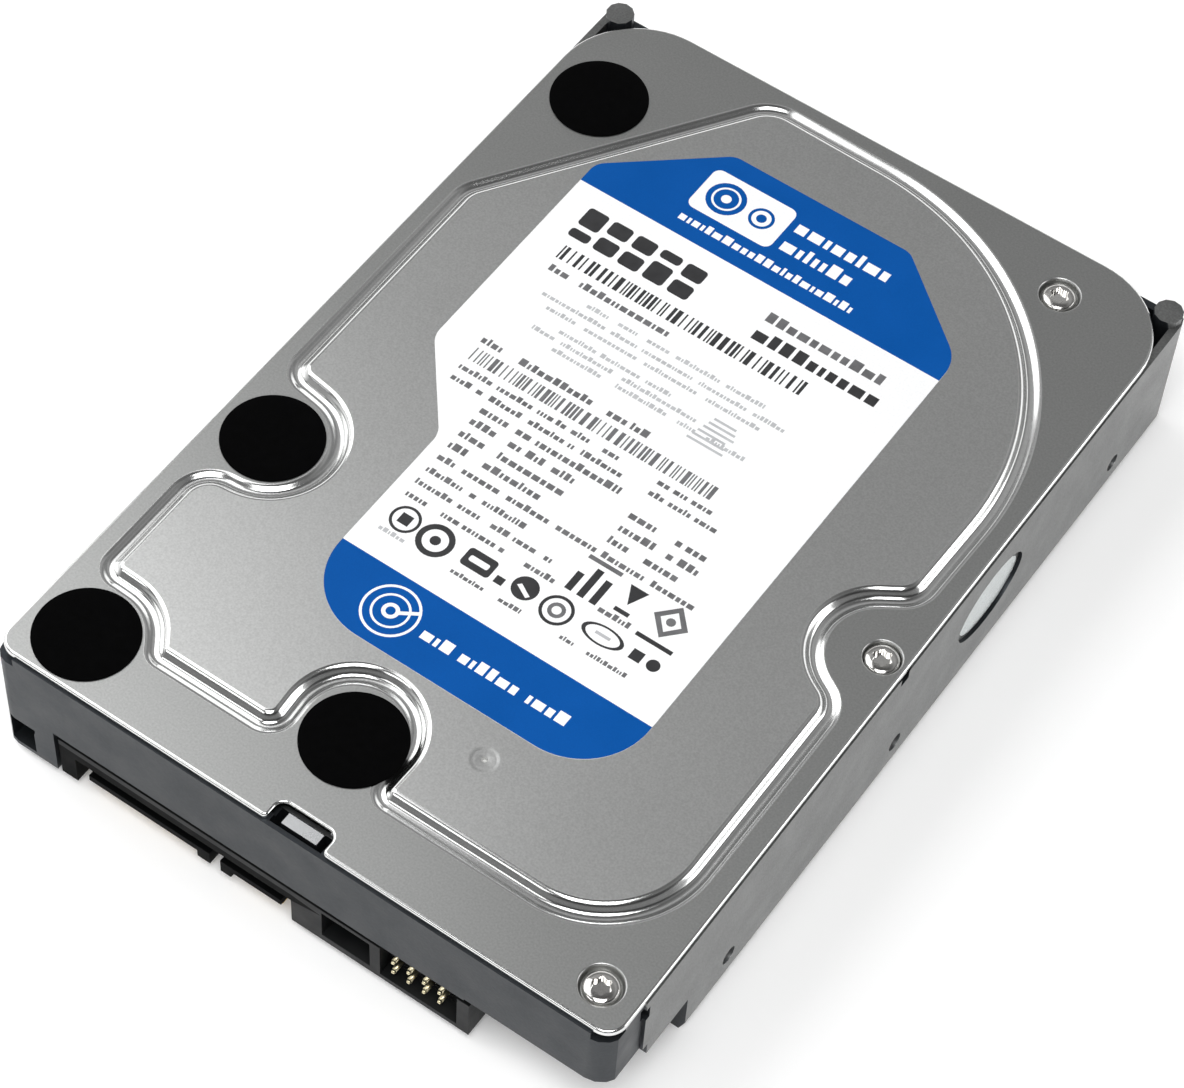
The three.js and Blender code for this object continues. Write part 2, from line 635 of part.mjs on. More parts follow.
function buildMotor() {
  const [x, y] = SPINDLE;
  const motor = new THREE.Group();
  motor.position.set(x, y, 0);
  drive.add(motor);

  place('motor_base', turned([
    [0, 3.2],
    [18, 3.2],
    [18, PAN_BOTTOM],
    [15.4, PAN_BOTTOM],
    [15.4, 7],
    [4.6, 7],
    [4.6, 16],
    [2.35, 16],
    [2.35, 5.4],
    [0, 5.4],
  ], MOTOR_SEGMENTS), 'aluminium', motor);
  const bore = [circlePath(0, 0, 4.9)];
  place('motor_stator', prism(statorPath(), 8.2, 11.4, bore), 'copper', motor);
  place('rotor_magnet', ring(12.5, 13.6, 8, 11.4, MOTOR_SEGMENTS), 'magnet', motor);

  const screwAngles = [0, 120, 240].map(radians);
  const screwRing = screwAngles.map((angle) => [8.5 * Math.cos(angle), 8.5 * Math.sin(angle)]);
  const screwHoles = (r, z0, z1) => screwRing.map(([hx, hy]) => disc(hx, hy, r, z0, z1));
  const hub = turned([
    [0, 5.8],
    [SHAFT_R, 5.8],
    [SHAFT_R, 16.6],
    [10.4, 16.6],
    [10.4, 11.7],
    [13.9, 11.7],
    [13.9, 7.8],
    [15.4, 7.8],
    [15.4, 11.4],
    [16.2, 11.4],
    [16.2, LOWER_PLATTER],
    [HUB_R, LOWER_PLATTER],
    [HUB_R, 18.1],
    [0, 18.1],
  ], MOTOR_SEGMENTS);
  place('spindle_hub', cut(hub, ...screwHoles(1.3, 16, 20)), 'aluminium', motor);
  place('platter_1', ring(12.6, PLATTER_R, LOWER_PLATTER, LOWER_PLATTER + PLATTER_T, PLATTER_SEGMENTS),
    'platter', motor);
  place('platter_spacer', ring(12.65, 16, LOWER_PLATTER + PLATTER_T, UPPER_PLATTER, MOTOR_SEGMENTS),
    'aluminium', motor);
  place('platter_2', ring(12.6, PLATTER_R, UPPER_PLATTER, UPPER_PLATTER + PLATTER_T, PLATTER_SEGMENTS),
    'platter', motor);
  const clampFoot = UPPER_PLATTER + PLATTER_T;
  const clamp = turned([
    [3, 18.6],
    [12.8, 18.6],
    [13.2, clampFoot],
    [15.4, clampFoot],
    [15.4, 18.9],
    [13.4, 19.5],
    [3, 19.5],
    [3, 18.6],
  ], MOTOR_SEGMENTS);
  place('disc_clamp', cut(clamp, ...screwHoles(1.3, 17, 21)), 'nickel', motor);
  screwRing.forEach(([hx, hy], i) => {
    const size = { head: 2, height: 1, shank: 0.95, length: 2.7, segments: 10 };
    place(`clamp_screw_${i + 1}`, panScrew(hx, hy, 19.5, size), 'steel', motor);
  });
}

// ---------------------------------------------------------------- actuator, magnets and latch

function yokeEars() {
  return [252, 340].map((degrees) => {
    const angle = radians(degrees);
    return [PIVOT[0] + 25 * Math.cos(angle), PIVOT[1] + 25 * Math.sin(angle)];
  });
}

function yokePlate(z0, z1) {
  const plate = prism(sectorPath(YOKE_R[0], YOKE_R[1], ...YOKE_SECTOR), z0, z1).translate(...PIVOT, 0);
  const ears = yokeEars().map(([x, y]) => disc(x, y, 3.3, z0, z1));
  const links = [255, 337].map((degrees) => {
    const link = prism(sectorPath(22, 28, degrees - 4, degrees + 4), z0, z1);
    return link.translate(...PIVOT, 0);
  });
  return join(plate, ...ears, ...links);
}

function buildMagnets() {
  const earHoles = (z0, z1) => yokeEars().map(([x, y]) => disc(x, y, 1.4, z0, z1));
  const magnet = (z0, z1) => {
    const outline = sectorPath(14.5, 26.5, YOKE_SECTOR[0] + 6, YOKE_SECTOR[1] - 6);
    return prism(outline, z0, z1).translate(...PIVOT, 0);
  };
  place('lower_yoke', cut(yokePlate(CAVITY_FLOOR, 11.2), ...earHoles(5, 15)), 'nickel');
  place('lower_magnet', magnet(11.2, 13), 'magnet');
  place('upper_magnet', magnet(17.8, 19.6), 'magnet');
  const posts = yokeEars().map(([x, y]) => disc(x, y, 2.6, 11.2, 20));
  place('upper_yoke', cut(join(yokePlate(19.6, 21.8), ...posts), ...earHoles(5, 25)), 'nickel');
  yokeEars().forEach(([x, y], i) => {
    const size = { head: 2.4, height: 1.2, shank: 1.1, length: 14.4, segments: 10 };
    place(`yoke_screw_${i + 1}`, panScrew(x, y, 21.8, size), 'steel');
  });
}

// One of the three arms: a tapered plate with a hole that lightens it.
function armPlate(z) {
  const edge = [[34, 2.6], [30, 3.4], [8, 6], [0, 6.4]];
  const outline = polygon(...edge.map(([x, y]) => [x, -y]).reverse(), ...edge);
  const opening = polygon([13, -3], [26, -1.6], [26, 1.6], [13, 3]);
  return prism(outline, z, z + ARM_T, [opening]);
}

function actuatorArm() {
  const [low, , high] = ARM_LEVELS;
  const barrel = prism(circlePath(0, 0, 6.5), low, high + ARM_T);
  const fork = prism(sectorPath(4, 20, COIL_DEG - 19, COIL_DEG + 19), ...COIL_Z);
  const coilSeat = prism(sectorPath(13.6, 30, COIL_DEG - 16.2, COIL_DEG + 16.2), 10, 20);
  const bore = prism(circlePath(0, 0, 5.2), 5, 25);
  return cut(join(barrel, ...ARM_LEVELS.map(armPlate), cut(fork, coilSeat)), bore);
}

function voiceCoil() {
  const outer = sectorPath(14.2, 27.2, COIL_DEG - 15, COIL_DEG + 15);
  const inner = sectorPath(17.6, 23.8, COIL_DEG - 9, COIL_DEG + 9);
  return prism(outer, ...COIL_Z, [inner]);
}

// A spring arm with its slider: side is +1 when the head faces up.
function headSuspension(face, side) {
  const spring = 0.3;
  const outline = polygon([29, -3], [34, -3], [46, -1], [50, -0.45], [50, 0.45], [46, 1], [34, 3], [29, 3]);
  const sheet = side > 0 ? [face, face + spring] : [face - spring, face];
  const slider = side > 0 ? [face + 0.1, face + 0.95] : [face - 0.95, face - 0.1];
  return join(
    prism(outline, ...sheet),
    block(HEAD_REACH - 1.1, HEAD_REACH + 0.9, -0.8, 0.8, ...slider),
  );
}

function parkingRamp() {
  const post = block(51, 54, -3, 3, CAVITY_FLOOR, 20);
  const fingers = [[11.8, 14.25], [16.5, 18.9]].map(([z0, z1]) => block(48.4, 51.5, -3, 3, z0, z1));
  return join(post, ...fingers);
}

function buildActuator() {
  const actuator = new THREE.Group();
  actuator.position.set(PIVOT[0], PIVOT[1], 0);
  actuator.rotation.z = radians(PARK_DEG);
  drive.add(actuator);

  place('actuator_arm', actuatorArm(), 'aluminium', actuator);
  place('pivot_sleeve', ring(2.6, 4.8, 10, 20.8, 20), 'steel', actuator);
  place('voice_coil', voiceCoil(), 'copper', actuator);
  const [low, middle, high] = ARM_LEVELS;
  const faces = [[low + ARM_T, 1], [middle, -1], [middle + ARM_T, 1], [high, -1]];
  faces.forEach(([face, side], i) => {
    place(`head_suspension_${i + 1}`, headSuspension(face, side), 'steel', actuator);
  });
  const flex = join(block(-2, 8, 6.8, 7.2, 11.6, 19.3), block(1, 5.5, 7.2, 8, 13.5, 17.5));
  place('arm_flex', flex, 'polyimide', actuator);
  place('head_ramp', parkingRamp(), 'ramp', actuator);
}

// Runs a thin strip, standing on edge, along a smooth curve.
function ribbon(points, thickness, z0, z1) {
  const curve = new THREE.CatmullRomCurve3(points.map(([x, y]) => new THREE.Vector3(x, y, 0)));
  const steps = 14;
  const left = [];
  const right = [];
  for (let i = 0; i <= steps; i++) {
    const p = curve.getPoint(i / steps);
    const t = curve.getTangent(i / steps);
    left.push(new THREE.Vector2(p.x - (t.y * thickness) / 2, p.y + (t.x * thickness) / 2));
    right.unshift(new THREE.Vector2(p.x + (t.y * thickness) / 2, p.y - (t.x * thickness) / 2));
  }
  return prism([...left, ...right], z0, z1);
}

const FLEX_ROUTE = [[-8, -40.6], [-2, -37.8], [3, -40.8], [8.5, -40.4], [11.2, -35.8]];
const LATCH_PIN = [42.5, -25];

function latchLever() {
  const eye = circlePath(0, 0, 2.6);
  const arm = polygon([-1.5, 0.5], [-6.6, -7.2], [-7.6, -9.2], [-5.2, -9.6], [-4.6, -7.4], [1.6, -1]);
  const whole = join(prism(eye, 12.5, 15), prism(arm, 12.5, 15));
  return cut(whole, prism(circlePath(0, 0, 1.35), 10, 18)).translate(LATCH_PIN[0], LATCH_PIN[1], 0);
}

function buildInside() {
  const [px, py] = PIVOT;
  place('pivot_shaft', turned([
    [0, 7.3],
    [1.5, 7.3],
    [1.5, CAVITY_FLOOR],
    [3.6, CAVITY_FLOOR],
    [3.6, 9.7],
    [2.2, 9.7],
    [2.2, 21.8],
    [0, 21.8],
  ], 20, px, py), 'steel');
  const bracket = join(
    block(-20, -7, -47.5, -41, CAVITY_FLOOR, 13),
    block(-16.6, -8.4, -45.9, -42.7, 4.6, 10),
  );
  place('flex_bracket', bracket, 'plastic');
  place('flex_cable', ribbon(FLEX_ROUTE, 0.25, 12, 18), 'polyimide');
  place('crash_stop', turned([[0, CAVITY_FLOOR], [1.7, CAVITY_FLOOR], [1.7, 17], [0, 17]], 14,
    px + 17 * Math.cos(radians(251)), py + 17 * Math.sin(radians(251))), 'rubber');
  const filter = block(-4.5, 4.5, -1.6, 1.6, CAVITY_FLOOR, 19).rotateZ(radians(-25));
  place('recirculation_filter', filter.translate(40, -14.5, 0), 'fibre');
  place('latch_pin', turned([
    [0, CAVITY_FLOOR],
    [2, CAVITY_FLOOR],
    [2, 12.2],
    [1, 12.2],
    [1, 15.6],
    [0, 15.6],
  ], 14, ...LATCH_PIN), 'steel');
  place('latch_lever', latchLever(), 'plastic');
}

// ---------------------------------------------------------------- assembly

place('base_casting', baseCasting(), 'casting');
buildCover();
buildBoard();
buildMotor();
buildMagnets();
buildActuator();
buildInside();

export default drive;
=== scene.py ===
"""Looks for a 3.5-inch hard disk drive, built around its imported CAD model.

Lengths in this file are millimetres, and become metres when an object is made.
"""
import math
import random

import bmesh
import bpy
from mathutils import Matrix, Vector
from mathutils.geometry import delaunay_2d_cdt


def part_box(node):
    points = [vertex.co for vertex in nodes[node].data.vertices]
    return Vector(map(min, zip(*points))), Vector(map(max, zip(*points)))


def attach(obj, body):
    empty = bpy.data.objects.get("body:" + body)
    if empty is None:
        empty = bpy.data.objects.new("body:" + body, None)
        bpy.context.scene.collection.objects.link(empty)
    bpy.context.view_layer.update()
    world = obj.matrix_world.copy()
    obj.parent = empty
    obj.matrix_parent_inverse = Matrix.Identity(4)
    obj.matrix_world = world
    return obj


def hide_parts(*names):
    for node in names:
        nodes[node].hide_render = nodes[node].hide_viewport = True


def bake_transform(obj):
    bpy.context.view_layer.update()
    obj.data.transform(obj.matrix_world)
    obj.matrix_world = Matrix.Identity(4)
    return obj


MM = 0.001
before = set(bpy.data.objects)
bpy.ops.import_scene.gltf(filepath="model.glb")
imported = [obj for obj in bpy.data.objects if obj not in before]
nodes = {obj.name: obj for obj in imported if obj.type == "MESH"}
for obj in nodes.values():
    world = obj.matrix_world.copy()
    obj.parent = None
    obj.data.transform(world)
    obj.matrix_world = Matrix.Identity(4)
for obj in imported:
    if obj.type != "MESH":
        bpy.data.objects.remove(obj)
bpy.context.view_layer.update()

# ---------------------------------------------------------------- levels and outlines, as in the CAD model

FLANGE_TOP = 25.2
PLATEAU_TOP = 26.0
LABEL_TOP = 26.1
SHEET = 0.8
RIM_TOP = 23.4

GROOVE_PEGS = [
    (-43.3, -10.7, 3.3), (-41.8, -24, -9.6), (-41.3, -38.6, 5), (-43.8, -53, 2.5),
    (-41.4, -64.9, -9.3), (-30.9, -60.2, 2), (-14.8, -59.2, 3), (-3.5, -55.8, -8.5),
    (7, -60, 2.1), (30.1, -46.1, 16), (41.1, -17.2, 5), (46.9, -4, -9.35),
    (41.1, 9.4, 5), (0, 22.9, 46.4), (-16, 63.2, 6.4), (-41.3, 27.1, 5.35),
]
COVER_PEGS = [
    (-47.6, -70.1, 3), (-5.5, -72.3, 0.8), (-3.3, -71.1, -1.4), (3.0, -71.1, -1.4), (5.2, -72.3, 0.8),
    (47.6, -70.1, 3), (36.6, 59.4, 14), (-36.6, 59.4, 14),
]
LABEL_PEGS = [
    (-29.9, 5, 4), (-27, -11.5, -4), (-12, -32.9, 11), (17.4, -32.9, 11),
    (22.4, 41.6, 6), (11.5, 54.4, 3), (-17, 54.4, 3), (-30.9, 42.4, 3),
]
# each screw sits in a dimple of the cover: its place and the dimple's radius
OPEN_SCREWS = [(33.9, 64.5, 3.3), (46.9, -4.1, 3.0), (44.8, -67.5, 3.3)]
HIDDEN_SCREWS = [(-42.2, 56.2, 3.3), (-41.5, -24.1, 3.3), (-41.4, -64.9, 3.3), (-2.5, -56.9, 3.3)]
DISCS = [(-41.2, 55.2), (-41.5, -24.1), (-41.4, -64.9), (-2.5, -56.9)]
BREATHER = (13.4, -49.5)
SPINDLE = (0.3, 22.7)
PLATTER_SIDES = 180
BOARD_BOTTOM, BOARD_TOP = 1.6, 2.8
BOARD_SCREWS = [(-38.5, -48), (37.5, -46), (-38.5, 7), (37.5, -3)]


def belt(pegs, offset, step_deg):
    """A closed outline that runs round circles like a belt, counter-clockwise, as (x, y, angle of its
    outward normal). A negative radius is a circle that the outline passes on its outer side.
    Any offset gives the same number of points."""
    count = len(pegs)
    normals = []
    for i, (x0, y0, r0) in enumerate(pegs):
        x1, y1, r1 = pegs[(i + 1) % count]
        length = math.hypot(x1 - x0, y1 - y0)
        normals.append(math.atan2(y1 - y0, x1 - x0) - math.asin((r1 - r0) / length) - math.pi / 2)
    points = []
    for i, (x, y, r) in enumerate(pegs):
        start = normals[i - 1]
        turn = (normals[i] - start + math.pi) % (2 * math.pi) - math.pi
        if turn * r < 0:
            turn += math.copysign(2 * math.pi, r)
        finer = max(1, math.sqrt(abs(r) / 8))  # large circles get more points
        steps = max(2, math.ceil(abs(math.degrees(turn)) / step_deg * finer))
        for k in range(steps + 1):
            angle = start + turn * k / steps
            points.append((x + (r + offset) * math.cos(angle), y + (r + offset) * math.sin(angle), angle))
    return points


def circle(x, y, radius, count=48):
    """Points of a circle, as (x, y, angle)."""
    angles = [2 * math.pi * k / count for k in range(count)]
    return [(x + radius * math.cos(a), y + radius * math.sin(a), a) for a in angles]


def inside(loop, x, y):
    """Whether a point is inside a closed outline."""
    hit = False
    for (x0, y0, _), (x1, y1, _) in zip(loop, loop[1:] + loop[:1]):
        if (y0 > y) != (y1 > y) and x < x0 + (y - y0) * (x1 - x0) / (y1 - y0):
            hit = not hit
    return hit


UP = Vector((0, 0, 1))


class Shell:
    """Collects points, normals and faces of one piece."""

    def __init__(self):
        self.points, self.normals, self.faces, self.tags = [], [], [], []

    def point(self, x, y, z, normal=UP):
        self.points.append((x, y, z))
        self.normals.append(normal)
        return len(self.points) - 1

    def ring(self, loop, z, slope=0.0):
        """Adds one closed row of points at height z.
        slope is the rise of the surface along the loop's outward normal."""
        return [
            self.point(x, y, z, Vector((-slope * math.cos(a), -slope * math.sin(a), 1)).normalized())
            for x, y, a in loop
        ]

    def wall(self, loop, z, outward=1):
        """Adds one closed row of points whose normals lie flat."""
        return [
            self.point(x, y, z, Vector((outward * math.cos(a), outward * math.sin(a), 0))) for x, y, a in loop
        ]

    def strip(self, lower, upper, tag=0):
        """Joins two rows by quads. lower then upper goes round as seen from outside."""
        count = len(lower)
        for i in range(count):
            j = (i + 1) % count
            self.face((lower[i], lower[j], upper[j], upper[i]), tag)

    def face(self, corners, tag=0):
        self.faces.append(tuple(corners))
        self.tags.append(tag)

    def fill(self, rows, keep, tag=0, flip=False):
        """Fills the flat space between closed rows of points, where keep(x, y) is true."""
        index = [i for row in rows for i in row]
        flat = [Vector(self.points[i][:2]) for i in index]
        edges, first = [], 0
        for row in rows:
            edges += [(first + k, first + (k + 1) % len(row)) for k in range(len(row))]
            first += len(row)
        made, _, triangles, origin, _, _ = delaunay_2d_cdt(flat, edges, [], 0, 1e-6)
        for t in triangles:
            x = sum(made[k].x for k in t) / 3
            y = sum(made[k].y for k in t) / 3
            if keep(x, y):
                corners = [index[origin[k][0]] for k in t]
                self.face(corners[::-1] if flip else corners, tag)

    def object(self, name, materials, slot, replaces=(), body="chassis", own_normals=True):
        """Makes the piece. It rides on a body, unless body is None."""
        mesh = bpy.data.meshes.new(name)
        mesh.from_pydata([(x * MM, y * MM, z * MM) for x, y, z in self.points], [], self.faces)
        for material in materials:
            mesh.materials.append(material)
        mesh.polygons.foreach_set("material_index", self.tags)
        mesh.polygons.foreach_set("use_smooth", [True] * len(self.faces))
        if own_normals:
            mesh.normals_split_custom_set_from_vertices([tuple(n) for n in self.normals])
        made = bpy.data.objects.new(name, mesh)
        bpy.context.scene.collection.objects.link(made)
        if body:
            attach(made, body)
        if replaces:
            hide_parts(*replaces)
        return made


def shade(obj, angle_deg):
    """Makes the edges hard where two faces meet at more than an angle."""
    mesh = obj.data
    bm = bmesh.new()
    bm.from_mesh(mesh)
    bmesh.ops.remove_doubles(bm, verts=bm.verts, dist=1e-7)
    limit = math.radians(angle_deg)
    sharp = {
        frozenset((tuple(e.verts[0].co), tuple(e.verts[1].co)))
        for e in bm.edges
        if len(e.link_faces) != 2 or e.calc_face_angle(0) > limit
    }
    bm.free()
    for e in mesh.edges:
        a, b = (tuple(mesh.vertices[k].co) for k in e.vertices)
        e.use_edge_sharp = frozenset((a, b)) in sharp


def soften(obj, width, segments, angle_deg):
    """Rounds the hard edges of a piece with modifiers, so that they catch the light."""
    merge = obj.modifiers.new("merge", "WELD")
    merge.merge_threshold = 2e-6
    flat = obj.modifiers.new("flat", "DECIMATE")
    flat.decimate_type = "DISSOLVE"
    flat.delimit = {"MATERIAL"}
    flat.angle_limit = math.radians(0.5)
    bevel = obj.modifiers.new("edges", "BEVEL")
    bevel.width = width * MM
    bevel.segments = segments
    bevel.limit_method = "ANGLE"
    bevel.angle_limit = math.radians(angle_deg)
    obj.data.polygons.foreach_set("use_smooth", [True] * len(obj.data.polygons))
    weighted = obj.modifiers.new("normals", "WEIGHTED_NORMAL")
    weighted.keep_sharp = True
    weighted.weight = 80


# ---------------------------------------------------------------- materials


def map_range(tree, value, *limits):
    """A node that takes a value from one range to another: From Min, From Max, To Min, To Max."""
    made = tree.nodes.new("ShaderNodeMapRange")
    for name, limit in zip(("From Min", "From Max", "To Min", "To Max"), limits):
        made.inputs[name].default_value = limit
    tree.links.new(value, made.inputs["Value"])
    return made.outputs["Result"]


def finish(name, colour, roughness, metallic=0.0, *, tint=0.06, patch=9.0, grain=0.25, grit=0.04,
           relief=0.004, spread=0.06, specular=0.5, coat=0.0, glow=0.0):
    """A procedural surface. tint and spread are how far its colour and roughness wander over patches
    of size patch. grit is how far the colour wanders from grain to grain, over grains of size grain,
    and relief is their height."""
    material = bpy.data.materials.new(name)
    material.use_nodes = True
    tree = material.node_tree
    tree.nodes.clear()
    add, link = tree.nodes.new, tree.links.new
    out = add("ShaderNodeOutputMaterial")
    shader = add("ShaderNodeBsdfPrincipled")
    link(shader.outputs["BSDF"], out.inputs["Surface"])
    shader.inputs["Metallic"].default_value = metallic
    shader.inputs["Specular IOR Level"].default_value = specular
    shader.inputs["Coat Weight"].default_value = coat
    place = add("ShaderNodeTexCoord")
    scale = add("ShaderNodeMapping")
    scale.inputs["Scale"].default_value = [1 / MM] * 3
    link(place.outputs["Object"], scale.inputs["Vector"])

    def noise(size, detail=3.0):
        made = add("ShaderNodeTexNoise")
        made.inputs["Scale"].default_value = 1 / size
        made.inputs["Detail"].default_value = detail
        link(scale.outputs["Vector"], made.inputs["Vector"])
        return made.outputs["Fac"]

    def wander(value, low, high):
        """The noise lies mostly between 0.3 and 0.7."""
        return map_range(tree, value, 0.3, 0.7, low, high)

    wide, fine = noise(patch), noise(grain, 2.0)
    brightness = add("ShaderNodeHueSaturation")
    brightness.inputs["Color"].default_value = (*colour, 1)
    both = add("ShaderNodeMath")
    both.operation = "MULTIPLY"
    link(wander(wide, 1 - tint, 1 + tint), both.inputs[0])
    link(wander(fine, 1 - grit, 1 + grit), both.inputs[1])
    link(both.outputs[0], brightness.inputs["Value"])
    painted = brightness.outputs["Color"]
    link(painted, shader.inputs["Base Color"])
    rough = wander(wide, max(0.02, roughness - spread), min(1, roughness + spread))
    link(rough, shader.inputs["Roughness"])
    bump = add("ShaderNodeBump")
    bump.inputs["Distance"].default_value = relief * MM
    bump.inputs["Strength"].default_value = 1.0
    link(fine, bump.inputs["Height"])
    link(bump.outputs["Normal"], shader.inputs["Normal"])
    if glow:
        link(painted, shader.inputs["Emission Color"])
        shader.inputs["Emission Strength"].default_value = glow
    return material


COVER = finish("cover_satin", (0.57, 0.575, 0.57), 0.32, 1.0, tint=0.008, patch=25, grain=0.3, grit=0.09,
               relief=0.0012, spread=0.008)
FLANGE = finish("cover_flange", (0.42, 0.425, 0.42), 0.34, 1.0, tint=0.01, patch=25, grain=0.3, grit=0.09,
                relief=0.0012, spread=0.008)
PRESSED = finish("cover_pressed", (0.76, 0.765, 0.76), 0.17, 1.0, tint=0.01, patch=12, grain=0.6, grit=0.03,
                 relief=0.0004, spread=0.01)
CASTING = finish("cast_aluminium", (0.036, 0.040, 0.045), 0.42, 0.8, tint=0.09, patch=5, grain=0.45,
                 grit=0.09, relief=0.012)
# a lighter copy of the cast skin: painted light on the casting's long sides, posts and ledge
LIT_CAST_SKIN = finish("cast_skin_painted_light", (0.185, 0.188, 0.186), 0.40, 0.8, patch=5, grain=0.35, grit=0.16, relief=0.010)
MACHINED = finish("machined_aluminium", (0.58, 0.59, 0.60), 0.28, 1.0, tint=0.03, patch=18, grain=0.2,
                  relief=0.003, spread=0.02)
PAPER = finish("label_paper", (0.90, 0.905, 0.91), 0.45, tint=0.012, patch=20, grain=0.3, relief=0.002)
BLUE_INK = finish("label_blue", (0.0, 0.077, 0.33), 0.45, tint=0.04, patch=8, grain=0.2, relief=0.002,
                  specular=0.1)
BLACK_INK = finish("label_black", (0.022, 0.022, 0.024), 0.45, tint=0.2, patch=2, grain=0.2, relief=0.001)
GREY_INK = finish("label_grey", (0.13, 0.13, 0.135), 0.45, tint=0.2, patch=2, grain=0.2, relief=0.001)
FAINT_INK = finish("label_faint", (0.46, 0.465, 0.48), 0.45, tint=0.08, patch=2, grain=0.2, relief=0.001)
FELT = finish("disc_felt", (0.0012, 0.0012, 0.0013), 0.9, tint=0.35, patch=1.2, grain=0.18, relief=0.02,
              specular=0.03)
SCREW = finish("screw_nickel", (0.72, 0.71, 0.69), 0.17, 1.0, tint=0.04, grain=0.3, relief=0.002)
FOIL = finish("foil", (0.66, 0.70, 0.70), 0.25, 1.0, tint=0.05, patch=3, grain=0.8, relief=0.02)
BOARD = finish("board_green", (0.008, 0.085, 0.035), 0.36, tint=0.12, patch=5, grain=0.6, coat=0.3)
FIBRE = finish("board_fibre", (0.34, 0.30, 0.16), 0.6, tint=0.1, patch=2, grain=0.2)
TRACK = finish("board_trace", (0.016, 0.14, 0.06), 0.32, tint=0.1, patch=3, grain=0.4, relief=0.003,
               coat=0.3)
GOLD = finish("contact_gold", (0.78, 0.56, 0.22), 0.20, 1.0, tint=0.05, patch=2, grain=0.3, relief=0.002)
PIN_GOLD = finish("pin_gold", (0.98, 0.88, 0.60), 0.34, 1.0, tint=0.05, patch=2, grain=0.3, relief=0.002)
SOLDER = finish("solder", (0.62, 0.63, 0.62), 0.28, 1.0, tint=0.08, patch=1, grain=0.4, relief=0.01)
PLASTIC = finish("connector_plastic", (0.006, 0.0065, 0.007), 0.5, tint=0.2, patch=4, grain=0.12,
                 specular=0.22)
# a blacker copy of the connector plastic: painted shade on the tongues and their guide under the casting
SHADED_TONGUE = finish("connector_tongue_shade", (0.002, 0.0022, 0.0024), 0.6, tint=0.2, patch=4, grain=0.12,
                specular=0.05)
INSULATOR = finish("board_foam", (0.035, 0.035, 0.04), 0.85, tint=0.2, patch=1.0, grain=0.4, relief=0.03)
RUBBER = finish("gasket_rubber", (0.012, 0.012, 0.013), 0.7, tint=0.2, patch=3, grain=0.2, relief=0.006)
STEEL = finish("bright_steel", (0.55, 0.55, 0.56), 0.24, 1.0, tint=0.05, grain=0.3, relief=0.002)
NICKEL = finish("nickel_plate", (0.66, 0.64, 0.60), 0.20, 1.0, tint=0.05, patch=6, grain=0.4)
COPPER = finish("copper_wire", (0.70, 0.27, 0.12), 0.32, 1.0, tint=0.15, patch=1.0, grain=0.25, relief=0.05)
MAGNET = finish("magnet_plate", (0.46, 0.45, 0.43), 0.33, 1.0, tint=0.08, patch=3, grain=0.5, relief=0.01)
PLATTER = finish("platter_mirror", (0.80, 0.80, 0.81), 0.045, 1.0, tint=0.01, patch=20, grain=1.0,
                 relief=0.0002, spread=0.01)
RAMP = finish("ramp_plastic", (0.72, 0.68, 0.56), 0.45, tint=0.04, grain=0.3)
FILTER = finish("filter_fibre", (0.80, 0.80, 0.78), 0.9, tint=0.1, patch=0.8, grain=0.15, relief=0.05)
POLYIMIDE = finish("polyimide", (0.42, 0.14, 0.02), 0.34, tint=0.08, patch=4, grain=0.4, relief=0.003,
                   coat=0.4)
CHIP = finish("chip_epoxy", (0.014, 0.014, 0.015), 0.55, tint=0.1, patch=3, grain=0.1, relief=0.006)
FLOOR = finish("floor_paper", (0.94, 0.94, 0.94), 0.9, tint=0.003, patch=60, grain=2, grit=0.002,
               relief=0.001, specular=0.1, glow=0.14)

# ---------------------------------------------------------------- camera, light and floor

# The camera stands DISTANCE from a point above the origin, moved SIDEWAYS and UPWARD across its own view.
TARGET_Z = 13.0
AZIMUTH, ELEVATION, ROLL = 31.649, 54.996, 4.060
DISTANCE, SIDEWAYS, UPWARD = 527.37, -2.783, -3.581
LENS, SENSOR = 112.82, 36.0
SHIFT_X, SHIFT_Y = 0.0005, 0.0015


def build_camera():
    a, e, r = (math.radians(v) for v in (AZIMUTH, ELEVATION, ROLL))
    back = Vector((math.sin(a) * math.cos(e), -math.cos(a) * math.cos(e), math.sin(e)))
    right = Vector((math.cos(a), math.sin(a), 0))
    up = back.cross(right)
    right, up = right * math.cos(r) + up * math.sin(r), up * math.cos(r) - right * math.sin(r)
    place = right * SIDEWAYS + up * UPWARD + back * DISTANCE + Vector((0, 0, TARGET_Z))
    data = bpy.data.cameras.new("camera")
    data.lens, data.sensor_width = LENS, SENSOR
    data.shift_x, data.shift_y = SHIFT_X, SHIFT_Y
    data.clip_start, data.clip_end = 0.01, 20
    camera = bpy.data.objects.new("camera", data)
    turn = Matrix((right, up, back)).transposed().to_4x4()
    camera.matrix_world = Matrix.Translation(place * MM) @ turn
    bpy.context.scene.collection.objects.link(camera)
    bpy.context.scene.camera = camera


def area_light(name, place, size, power):
    """A soft rectangular light that faces the origin. place and size are in metres."""
    data = bpy.data.lights.new(name, "AREA")
    data.shape = "RECTANGLE"
    data.size, data.size_y = size
    data.energy = power
    lamp = bpy.data.objects.new(name, data)
    lamp.location = place
    lamp.rotation_mode = "QUATERNION"
    lamp.rotation_quaternion = (-Vector(place)).to_track_quat("-Z", "Y")
    bpy.context.scene.collection.objects.link(lamp)


# brightness of the room by height, which is 0 at the horizon and below, and 1 straight up
ROOM_LEVELS = [(0.0, 1.0), (0.28, 0.95), (0.40, 0.16), (0.62, 0.17), (0.80, 0.30), (0.92, 0.12), (1.0, 0.07)]
ROOM_STRENGTH = 1.45
BEYOND = (-0.52, 0.85, 0)
NEAR_SHARE = 0.15


